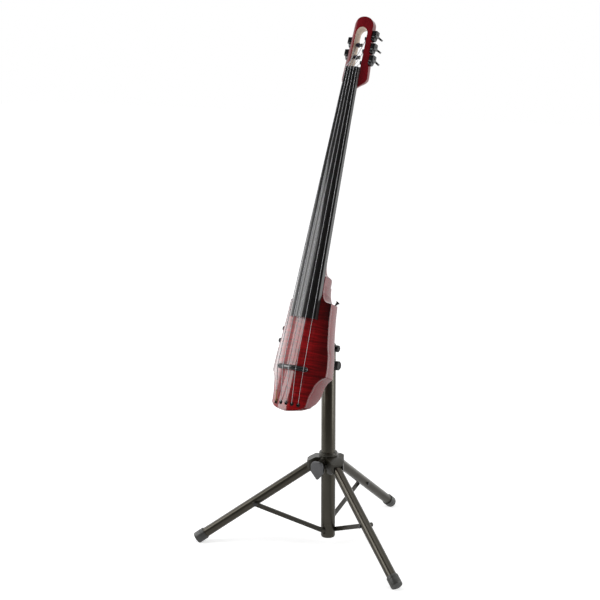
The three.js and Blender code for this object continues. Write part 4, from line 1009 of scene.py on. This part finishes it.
bm = bmesh.new()
arched_bar(bm, top=-8.7, depth=5.9, half=38, length=5.5, arch=SADDLE_ARCH, round_end=4.5, lip=1.4)
made("bridge_lower_bar", bm, "gloss_black", "cello", ["bridge_base"])
bm = bmesh.new()
arched_bar(bm, top=-7.1, depth=1.3, half=38.5, length=5.5, arch=SADDLE_ARCH, round_end=4.5, lip=0.4)
layers = ["black_plastic", "plain_steel"]
strip = made(
    "bridge_pickup_strip", bm, "black_plastic", "cello", ["pickup_strip"], parts=layers,
)
for polygon in strip.data.polygons:
    polygon.material_index = 1 if abs(polygon.normal.dot(OUT)) < 0.5 else 0
bm = bmesh.new()
arched_bar(bm, SADDLE_TOP, depth=5.5, half=38, length=2.1, arch=SADDLE_ARCH, round_end=2.1, lip=0.9)
made("bridge_top_saddle", bm, "gloss_black", "cello", ["bridge_saddle"])
bm = bmesh.new()
nut_middle = SCALE + 2.5
arched_bar(bm, NUT_TOP, 12.6, half=17, length=2.45, arch=NUT_ARCH, round_end=1.5, lip=0.7, middle=nut_middle)
made("string_nut", bm, "black_plastic", "cello", ["nut"])
for name in ("bridge_stud_left", "bridge_stud_right"):
    dressed(name, "polished_metal", 0.2)
print("bridge bars, studs and nut")

# %% [markdown]
# A string is one tube from its anchor in the tail over saddle and nut to its post, where it winds round
# twice. A curve object with a round bevel would do, but then the UV map would not hold the real length in
# metres, which the winding needs. So rings are bridged along the line, and each face gets its place.

# %% Tubes that know their length
TUBE_SIDES = 12


def tube(name, points, radius, paint, ends, replaces):
    """A round tube through points. ends(length, total) picks one of its paints."""
    tangents = [(b - a).normalized() for a, b in zip([points[0], *points], [*points[1:], points[-1]])]
    normal = tangents[0].orthogonal().normalized()
    turns = [math.tau * k / TUBE_SIDES for k in range(TUBE_SIDES)]
    rings, lengths = [], []
    for p, before, tangent in zip(points, [points[0], *points], tangents):
        lengths.append((lengths[-1] if lengths else 0) + (p - before).length)
        normal = (normal - tangent * normal.dot(tangent)).normalized()
        other = tangent.cross(normal)
        rings.append([p + (normal * math.cos(a) + other * math.sin(a)) * radius * MM for a in turns])
    bm = bmesh.new()
    lofted(bm, rings)
    bm.verts.index_update()
    lay = bm.loops.layers.uv.new("length")
    for cell in bm.faces:
        places = [divmod(loop.vert.index, TUBE_SIDES) for loop in cell.loops]
        closing = {0, TUBE_SIDES - 1} <= {k for _, k in places}
        for loop, (row, k) in zip(cell.loops, places):
            turn = TUBE_SIDES if closing and k == 0 else k
            loop[lay].uv = (turn / TUBE_SIDES, lengths[row])
        cell.material_index = ends(lengths[min(row for row, _ in places)], lengths[-1])
    return made(name, bm, paint[0], "cello", replaces, parts=paint)


print("tubes of", TUBE_SIDES, "sides")

# %% [markdown]
# The route of a string is worked out from the pieces that it touches: it rises out of its hole, bends over
# the saddle and the nut, and meets its post along a tangent. Only the bends need many points.

# %% Routes of the strings
STRING_RADII = (0.95, 0.85, 0.72, 0.6, 0.5)
WIND_RADIUS, WIND_GAP, WIND_STEPS = 3.9, 0.65, 48
ANCHOR_TOP, STRING_LIFT = -33.6, 0.05


def winding(t, side, start, radius, nut_h):
    """Two turns round a post, from where the string meets it."""
    reach = WIND_RADIUS + radius
    down, rise = LEDGE_END - t, nut_h - POST_H
    meet = math.atan2(rise, down) - math.acos(reach / math.hypot(down, rise))
    pitch = -side * (2 * radius + WIND_GAP)
    line = []
    for k in range(2 * WIND_STEPS + 1):
        turn = k / WIND_STEPS
        a = meet - math.tau * turn
        line.append(at(start + pitch * turn, POST_H + reach * math.sin(a), t + reach * math.cos(a)))
    return line


def straight(a, b, count):
    return [a.lerp(b, k / count) for k in range(count)]


def string_line(i):
    """The whole route of a string: anchor, top, saddle, nut and post."""
    radius = STRING_RADII[i]
    t, side, start, _ = MACHINES[i]
    tail_w, bridge_w, nut_w = (across_strings(i, gap) for gap in (TAIL_GAP, BRIDGE_GAP, NUT_GAP))
    tail_h = crown(tail_w)
    saddle_h = SADDLE_TOP - bridge_w ** 2 / (2 * SADDLE_ARCH) + radius + STRING_LIFT
    nut_h = NUT_TOP - nut_w ** 2 / (2 * NUT_ARCH) + radius + STRING_LIFT
    rising = curve([
        at(tail_w, ANCHOR_TOP - tail_w ** 2 / (2 * ARCH), TAIL_HOLE),
        at(tail_w, tail_h - 3, TAIL_HOLE),
        at(tail_w, tail_h - 0.3, TAIL_HOLE + 0.6),
        at(tail_w, tail_h + radius + 0.5, TAIL_HOLE + 2.6),
    ], 6)
    over_saddle = curve([
        at(bridge_w, saddle_h - 0.35, -2.2),
        at(bridge_w, saddle_h, -0.8),
        at(bridge_w, saddle_h, 0.8),
        at(bridge_w, saddle_h - 0.02, 2.3),
    ], 4)
    over_nut = curve([
        at(nut_w, nut_h, SCALE - 0.3),
        at(nut_w, nut_h, SCALE + 3.6),
        at(nut_w, nut_h - 0.3, SCALE + 5.2),
    ], 4)
    coil = winding(t, side, start, radius, nut_h)
    return [
        *rising[:-1], *straight(rising[-1], over_saddle[0], 10),
        *over_saddle[:-1], *straight(over_saddle[-1], over_nut[0], 40),
        *over_nut[:-1], *straight(over_nut[-1], coil[0], 8),
        *coil,
    ]


print("the lowest string's route has", len(string_line(0)), "points")

# %% [markdown]
# The five strings differ only in thickness, spacing and the place of their post, so a loop makes them. Each
# also has a dark ferrule where it leaves the top. The lowest one has the longest silk, of another colour.

# %% Strings and ferrules
HEAD_SILK, TAIL_SILK, LOW_TAIL_SILK = 85 * MM, 12 * MM, 34 * MM
FERRULE = ((2.2, -1.5), (4.2, -1.5), (4.2, 0.25), (3.9, 0.5), (2.6, 0.5), (2.2, 0.1))

for i, radius in enumerate(STRING_RADII):
    w = across_strings(i, TAIL_GAP)
    bm = bmesh.new()
    turned(bm, FERRULE, at(w, crown(w), TAIL_HOLE), OUT, steps=40)
    made(f"tail_ferrule_{i + 1}", bm, "flat_black", "cello")
    tail_silk = LOW_TAIL_SILK if i == 0 else TAIL_SILK

    def ends(length, total, tail_silk=tail_silk):
        if length > total - HEAD_SILK:
            return 1
        return 2 if length < tail_silk else 0

    wraps = ["string_steel", "silk", "gold_silk" if i == 0 else "silk"]
    name = f"string_{i + 1}"
    tube(f"cello_{name}", string_line(i), radius, wraps, ends, [name])
print(len(STRING_RADII), "strings")

# %% [markdown]
# A tuning machine has a post across the slot, a case with the worm on the head's edge, and a button to turn
# it. The post is turned: a small rim at its tip, a shank for the winding and the worm wheel at its outer end.

# %% Tuning posts
POST_PROFILE = ((0, 0), (3.2, 0), (4.6, 0.5), (4.6, 1.3), (3.6, 1.8), (3.6, 8))
WHEEL_RADIUS, WHEEL_HALF, WHEEL_OUT = 6.1, 1.7, 4


def outside(i, distance):
    """How far across the head a place is, counted outwards from the seat of a machine."""
    t, side, _, _ = MACHINES[i]
    return side * (seat_of(t) + distance)


for i, (t, side, _, tip) in enumerate(MACHINES):
    length = abs(outside(i, WHEEL_OUT) - tip)
    wheel = [(3.6, length - 2), (WHEEL_RADIUS, length - WHEEL_HALF), (WHEEL_RADIUS, length + WHEEL_HALF)]
    bm = bmesh.new()
    profile = [*POST_PROFILE, *wheel, (0, length + WHEEL_HALF)]
    turned(bm, profile, at(tip, POST_H, t), ACROSS * side, steps=48)
    name = f"string_post_{i + 1}"
    made(f"tuning_post_{i + 1}", bm, "black_metal", name, [name])
print(len(MACHINES), "posts")

# %% [markdown]
# The case is a cast box with a round cover over the worm wheel, a collar for the button's shaft and a small
# screw. Four simple parts that run into each other look like one casting, and cost no Boolean.

# %% Tuning cases
SHAFT_UP, SHAFT_OUT, SCREW_UP = 9.2, 4, 9.5
CASE_BACK, CASE_FRONT, CASE_DEPTH = -38, -22, 11
CASE_LINE = softened(box_line(1.5, 17.5, CASE_BACK, CASE_FRONT), 2.4, 5)
WHEEL_COVER = ((0, 0), (7.9, 0), (7.9, 5.6), (7.2, 7), (3, 7.6), (3, 7.3), (0, 7.3))
SHAFT_COLLAR = ((0, 0), (4.4, 0), (4.4, 1.3), (3.6, 1.9), (0, 1.9))
CASE_SCREW = ((0, 0), (2, 0), (2.4, 0.3), (1.9, 0.8), (0.5, 0.8), (0.5, 0.3), (0, 0.3))

for i, (t, side, _, _) in enumerate(MACHINES):
    low, high = sorted((outside(i, 0), outside(i, CASE_DEPTH)))
    outward = ACROSS * side
    bm = bmesh.new()
    drawn(bm, CASE_LINE, UP, OUT, low, high, at(0, 0, t), edge=1.1)
    turned(bm, WHEEL_COVER, at(outside(i, 0), POST_H, t), outward, steps=56)
    turned(bm, SHAFT_COLLAR, at(outside(i, SHAFT_OUT), CASE_BACK, t + SHAFT_UP), -OUT, steps=40)
    turned(bm, CASE_SCREW, at(outside(i, CASE_DEPTH), POST_H, t + SCREW_UP), outward, steps=24)
    made(f"tuning_housing_{i + 1}", bm, "black_metal", "cello", [f"tuner_housing_{i + 1}"])
print(len(MACHINES), "cases")

# %% [markdown]
# The button is a flat leaf on a turned shaft. No two stand at the same angle on a tuned instrument. The leaf
# is drawn from half an outline and its mirror image.

# %% Tuning buttons
BUTTON_TURNS = (-28, -36, -34, -30, -38)
SHAFT_START, LEAF_HALF = -39.5, 2.3
SHAFT = ((0, 0), (2, 0), (2, 3), (3.2, 4), (3.2, 6), (2, 7), (2, 12.5), (0, 12.5))
half_leaf = [(2.4, -43), (4.6, -45.6), (8.4, -47.4), (9.5, -51.5), (8.6, -56.4), (4.6, -60.2)]
left_leaf = [(-w, h) for w, h in half_leaf]
leaf = [tuple(p) for p in curve([*left_leaf, (0, -61), *reversed(half_leaf)], 5)]

for i, (t, side, _, _) in enumerate(MACHINES):
    turn = math.radians(BUTTON_TURNS[i])
    wide = (ACROSS * side * math.cos(turn) + UP * math.sin(turn)).normalized()
    bm = bmesh.new()
    turned(bm, SHAFT, at(outside(i, SHAFT_OUT), SHAFT_START, t + SHAFT_UP), -OUT, steps=40)
    middle = at(outside(i, SHAFT_OUT), 0, t + SHAFT_UP)
    drawn(bm, leaf, wide, OUT, -LEAF_HALF, LEAF_HALF, middle, edge=1.3)
    name = f"tuner_button_{i + 1}"
    made(f"tuning_button_{i + 1}", bm, "gloss_black", name, [name])
print(len(MACHINES), "buttons")

# %% [markdown]
# Two small knobs sit on the side that faces away from the camera. Their rims are knurled: a circle with a
# wave on it, drawn out. A bump would do from here, but the outline of a knob shows its ridges.

# %% Control knobs
FLANK_LINE = ((-7.5, 70), (33, 68.5), (64, 62), (117, 56), (152, 54))
KNOB_H, KNOB_RADIUS, KNOB_HEIGHT, KNOB_GAP = -58, 5.5, 8.6, 1
KNOB_CAP = ((0, 0), (5.4, 0), (5, 0.9), (4.2, 1.4), (0, 1.4))
KNOB_SHAFT = ((0, 0), (3, 0), (3, 14), (0, 14))
SHAFT_INSIDE = 10


def knurled(radius, depth, ridges, per_ridge):
    """A circle with a wave on it."""
    line = []
    for k in range(ridges * per_ridge):
        a = math.tau * k / (ridges * per_ridge)
        r = radius - depth * (1 - math.cos(ridges * a)) / 2
        line.append((r * math.cos(a), r * math.sin(a)))
    return line


for name, t in (("volume_knob", 90), ("tone_knob", 62)):
    inner = -between(FLANK_LINE, t - KNOB_RADIUS) - KNOB_GAP
    bm = bmesh.new()
    rim = knurled(KNOB_RADIUS - 0.1, 0.35, 20, 6)
    drawn(bm, rim, UP, -OUT, -inner, KNOB_HEIGHT - inner, at(0, KNOB_H, t))
    turned(bm, KNOB_CAP, at(inner - KNOB_HEIGHT, KNOB_H, t), -ACROSS, steps=48)
    turned(bm, KNOB_SHAFT, at(inner + SHAFT_INSIDE, KNOB_H, t), -ACROSS, steps=32)
    made(f"control_{name}", bm, "black_metal", name, [name])
print("volume and tone knob")

# %% [markdown]
# Jack, strap pin, anchor and mounting arm have their full shape in the model already. Fine bevels catch the
# light on their edges, and nothing else is needed.

# %% Fittings that keep their solids
for node, paint, bevel in (
    ("output_jack", "polished_metal", 0.3),
    ("strap_pin", "gloss_black", 0.4),
    ("string_anchor", "brass", 0.2),
    ("mounting_arm", "black_metal", 0.8),
    ("mounting_screw_1", "polished_metal", 0.4),
    ("mounting_screw_2", "polished_metal", 0.4),
):
    dressed(node, paint, bevel)
print("jack, pin, anchor, arm and screws")

# %% [markdown]
# The stand is measured from the floor. Its pole is a plain tube with a boss for the height screw, and a ring
# sits on the hub. Both are turned in many steps, because the outline of a tube would show its facets.

# %% Pole and hub
POLE_RADIUS, POLE_BORE, POLE_BOTTOM, POLE_TOP = 16.9, 14.6, 57, 455
LOCK_HEIGHT = 441.5
LOCK_BOSS = ((0, 0), (6.5, 0), (6.5, 3.2), (5.9, 3.9), (3.3, 3.9), (3.3, 0.4))
RING_BORE, RING_RADIUS, RING_BOTTOM, RING_TOP = 17.25, 21.6, 221.3, 231
foot_of_pole = ground(0, 0, 0)

bm = bmesh.new()
pole_profile = [
    (POLE_BORE, POLE_BOTTOM), (POLE_RADIUS, POLE_BOTTOM),
    (POLE_RADIUS, POLE_TOP - 0.6), (POLE_RADIUS - 0.4, POLE_TOP), (POLE_BORE, POLE_TOP),
]
turned(bm, pole_profile, foot_of_pole, Z, steps=96)
turned(bm, LOCK_BOSS, ground(POLE_BORE + 0.1, 0, LOCK_HEIGHT), ACROSS, steps=48)
made("stand_pole_tube", bm, "stand_tube", "stand_pole", ["pole"])
dressed("upper_tube", "stand_tube", 0.6)
dressed("pole_foot", "stand_tube", 0.5)
dressed("hub", "stand_casting", 1.2)
bm = bmesh.new()
ring_profile = [
    (RING_BORE, RING_BOTTOM), (RING_RADIUS, RING_BOTTOM), (RING_RADIUS, RING_TOP - 1.6),
    (RING_RADIUS - 0.6, RING_TOP - 0.5), (RING_RADIUS - 1.5, RING_TOP), (RING_BORE, RING_TOP),
]
turned(bm, ring_profile, foot_of_pole, Z, steps=72)
made("hub_clamp_ring", bm, "stand_casting", "hub", ["hub_ring"])
print("pole", POLE_TOP - POLE_BOTTOM, "mm long")

# %% [markdown]
# Two screws with moulded grips hold the height and the tilt. Each grip is a knurled rim between two turned
# ends, the outer one dished, with the screw's shank behind it. The tilt screw ends in a nut with six sides.

# %% Stand knobs
def gripped(bm, origin, radius, low, high, ridges, depth):
    """A knob head round the X axis, with ridges round its rim."""
    floor = radius - depth
    back_end = [(0, low), (floor - 0.6, low), (floor, low + 0.8), (0, low + 0.8)]
    front_end = [
        (0, high - 1.2), (floor, high - 1.2), (floor - 1.2, high), (radius * 0.55, high),
        (radius * 0.5, high - 0.7), (0, high - 0.7),
    ]
    drawn(bm, knurled(radius, depth, ridges, 8), BACKWARD, Z, low + 0.8, high - 1.2, origin)
    turned(bm, back_end, origin, ACROSS)
    turned(bm, front_end, origin, ACROSS)


def shank(bm, origin, radius, low, high):
    turned(bm, [(0, low), (radius, low), (radius, high), (0, high)], origin, ACROSS, steps=32)


lock_centre = ground(0, 0, LOCK_HEIGHT)
bm = bmesh.new()
gripped(bm, lock_centre, radius=10.8, low=19, high=28.6, ridges=22, depth=0.8)
shank(bm, lock_centre, radius=3, low=14.9, high=19.4)
made("height_lock_grip", bm, "knob_black", "height_lock_knob", ["height_lock_knob"])

tilt_centre = ground(0, 0, PIVOT_HEIGHT)
NUT_CORNER, NUT_OUTER, NUT_FACE = 7, -20.3, -17.5
hexagon = [(NUT_CORNER * math.cos(math.pi * k / 3), NUT_CORNER * math.sin(math.pi * k / 3)) for k in range(6)]
bm = bmesh.new()
gripped(bm, tilt_centre, radius=8.2, low=17.5, high=27.5, ridges=8, depth=1)
shank(bm, tilt_centre, radius=4, low=NUT_OUTER, high=17.9)
drawn(bm, hexagon, BACKWARD, Z, NUT_OUTER, NUT_FACE, tilt_centre, edge=0.5)
made("tilt_knob_grip", bm, "knob_black", "tilt_knob", ["tilt_knob"])
print("height and tilt knob")

# %% [markdown]
# A wing bolt clamps the hub on the pole. Its wing is a stamped plate in the shape of a shield, so it is drawn
# from an outline with softened corners and a generous bevel.

# %% Wing bolt
WING_HEIGHT, WING_INNER, WING_OUTER = 209, 46, 52
WING_LINE = ((-10, 9), (10, 9), (17, 0), (17, -17), (0, -36), (-17, -17), (-17, 0))
WING_BOLT = ((0, 17.8), (4, 17.8), (4, 43), (8, 43), (8, 45.2), (7.2, 46.3), (0, 46.3))
bm = bmesh.new()
wing_centre = ground(0, 0, WING_HEIGHT)
drawn(bm, softened(WING_LINE, 4, 5), ACROSS, Z, WING_INNER, WING_OUTER, wing_centre, edge=1.4)
turned(bm, WING_BOLT, wing_centre, -BACKWARD, steps=48)
made("hub_wing_bolt", bm, "dark_steel", "wing_bolt", ["wing_bolt"])
print("wing bolt")

# %% [markdown]
# Three legs stand round the pole, each with a strut and a rubber foot. The solids of legs and struts are
# kept. A foot is turned round the line of its leg, with the groove that such feet have, and then cut flat
# where it stands, so that it rests on the floor and not on an edge.

# %% Legs and feet
LEG_ANGLES = (90, 210, 330)
LEG_SLOPE = math.radians(34.4)
LEG_PIVOT_HEIGHT, LEG_PIVOT_OUT = 202.2, 33
FOOT_PROFILE = (
    (11.9, 314.9), (13.1, 314.9), (13.9, 316), (13.9, 322), (13.3, 322.8), (13.9, 323.6), (13.9, 338.6),
    (13.2, 340.4), (11.6, 340.9), (0, 340.9), (0, 335.2), (11.9, 335.2),
)
FLOOR_CUT, FOOT_OUT = 80, 300

for k, degrees in enumerate(LEG_ANGLES, 1):
    a = math.radians(degrees)
    ray = Vector((math.cos(a), math.sin(a), 0))
    down = ray * math.cos(LEG_SLOPE) - Z * math.sin(LEG_SLOPE)
    dressed(f"leg_{k}", "stand_tube", 0.4)
    dressed(f"strut_{k}", "stand_casting", 0.8)
    dressed(f"strut_bolt_{k}", "black_metal", 0.4)
    bm = bmesh.new()
    leg_start = ground(0, 0, LEG_PIVOT_HEIGHT) + ray * LEG_PIVOT_OUT * MM
    turned(bm, FOOT_PROFILE, leg_start, down, steps=72)
    cap = made(f"rubber_foot_{k}", bm, "rubber", f"leg_{k}", [f"foot_cap_{k}"])
    below = foot_of_pole + ray * FOOT_OUT * MM
    floor_tool = bmesh.new()
    square = box_line(-FLOOR_CUT, FLOOR_CUT, -FLOOR_CUT, FLOOR_CUT)
    drawn(floor_tool, square, ACROSS, BACKWARD, -FLOOR_CUT, 0, Vector((below.x, below.y, 0)))
    carved(cap, floor_tool)
    shaded(cap.data)
print(len(LEG_ANGLES), "legs with struts and feet")

# %% [markdown]
# A shop photo has a white ground with only a faint shadow. More light on a white floor would bleach the
# cello too, so the floor glows for the camera alone, and for mirrors and glass, which have to show it. It is
# brighter to mirrors behind the cello, because that part is what its polished side walls show.

# %% Floor
FLOOR_SIZE = 12
FLOOR_NEAR, FLOOR_GAIN = 0.6, 0.3
FLOOR_GLOSS, FLOOR_BEHIND = 0.45, 0.95

bm = bmesh.new()
bmesh.ops.create_grid(bm, x_segments=1, y_segments=1, size=FLOOR_SIZE)
mesh = bpy.data.meshes.new("studio_floor")
bm.to_mesh(mesh)
bm.free()
floor = bpy.data.objects.new("studio_floor", mesh)
scene.collection.objects.link(floor)
floor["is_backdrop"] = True
material = bpy.data.materials.new("pale_floor")
graph = Graph(material)
shader = graph.tree.nodes["Principled BSDF"]
shader.inputs["Base Color"].default_value = (0.88, 0.88, 0.88, 1)
shader.inputs["Roughness"].default_value = 0.9
shader.inputs["Specular IOR Level"].default_value = 0


def ray_is(graph, kind):
    """1 for light paths of one kind, else 0."""
    return graph.node("ShaderNodeLightPath", out=f"Is {kind} Ray")


spot = graph.node("ShaderNodeTexCoord", out="Object")
reach = graph.node("ShaderNodeVectorMath", {"operation": "LENGTH"}, {0: spot}, "Value")
behind = graph.node("ShaderNodeSeparateXYZ", {}, {0: spot}, "Y")
brightness = reach.step(0.3, 3) * FLOOR_GAIN + FLOOR_NEAR
gloss = behind.step(0.3, 1.5) * FLOOR_BEHIND + FLOOR_GLOSS
seen = ray_is(graph, "Camera") + ray_is(graph, "Glossy") * gloss + ray_is(graph, "Transmission")
glow = graph.node("ShaderNodeEmission", {}, {"Strength": brightness * seen})
both = graph.node("ShaderNodeAddShader", {}, {0: Wire(graph, shader.outputs[0]), 1: glow})
graph.feed(graph.tree.nodes["Material Output"].inputs["Surface"], both)
mesh.materials.append(material)
print("floor", 2 * FLOOR_SIZE, "m wide")

# %% [markdown]
# The world is white to the camera and nearly dark elsewhere, so that shadows stay soft but present. Mirrors
# see a white wall behind the cello and a dark room in front of it, which gives black parts their depth.

# %% World
ROOM_LIGHT, ROOM_GLOSS = 0.22, 0.05

world = bpy.data.worlds.new("studio")
scene.world = world
graph = Graph(world)
graph.tree.nodes.clear()
aim = graph.node("ShaderNodeTexCoord", out="Generated")
rearward = graph.node("ShaderNodeSeparateXYZ", {}, {0: aim}, "Y")
backdrop = rearward.step(-0.15, 0) * (1 - ROOM_GLOSS) + ROOM_GLOSS
direct = graph.math("MAXIMUM", ray_is(graph, "Camera"), ray_is(graph, "Transmission"))
mirrored = ray_is(graph, "Glossy")
seen = graph.math("MAXIMUM", direct, mirrored * backdrop)
level = graph.math("MAXIMUM", seen, (1 - mirrored) * ROOM_LIGHT)
sky = graph.node("ShaderNodeBackground", {}, {"Color": (1, 1, 1, 1), "Strength": level})
graph.node("ShaderNodeOutputWorld", {}, {"Surface": sky})
print("world light", ROOM_LIGHT)

# %% [markdown]
# Broad area lamps act as softboxes. The strongest stands to the front left and draws the pale streak on the
# fingerboard, one on the right lifts the dark side, and small ones fill the rest.

# %% Softboxes
CENTRE = Vector((0, 0, 0.6))


def softbox(name, place, width, height, power):
    """An area lamp in metres and watts that looks at the middle of the object."""
    data = bpy.data.lights.new(name, "AREA")
    data.shape = "RECTANGLE"
    data.size = width
    data.size_y = height
    data.energy = power
    lamp = bpy.data.objects.new(name, data)
    scene.collection.objects.link(lamp)
    lamp.location = place
    lamp.rotation_mode = "QUATERNION"
    lamp.rotation_quaternion = (CENTRE - Vector(place)).to_track_quat("-Z", "Y")


softbox("front_left_softbox", (-1.76, -1.87, 1.36), 1.45, 1.5, 34)
softbox("left_softbox", (-2.4, -0.1, 0.8), 1.2, 1.3, 12.5)
softbox("fill_softbox", (-2.25, -1.05, 1.0), 0.6, 1.3, 2.4)
softbox("right_softbox", (2.4, 0.6, 1.2), 0.7, 1.8, 25)
softbox("top_softbox", (0.2, -0.6, 3.2), 1.6, 1.6, 12)
print(len(bpy.data.lights), "lamps")

# %% [markdown]
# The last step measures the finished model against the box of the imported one, which it mustn't leave.

# %% Boxes and end
low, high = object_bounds()
{"cad": [list(cad_low), list(cad_high)], "visual": [list(low), list(high)]}
print("visual box in metres:", [round(v, 4) for v in (*low, *high)])
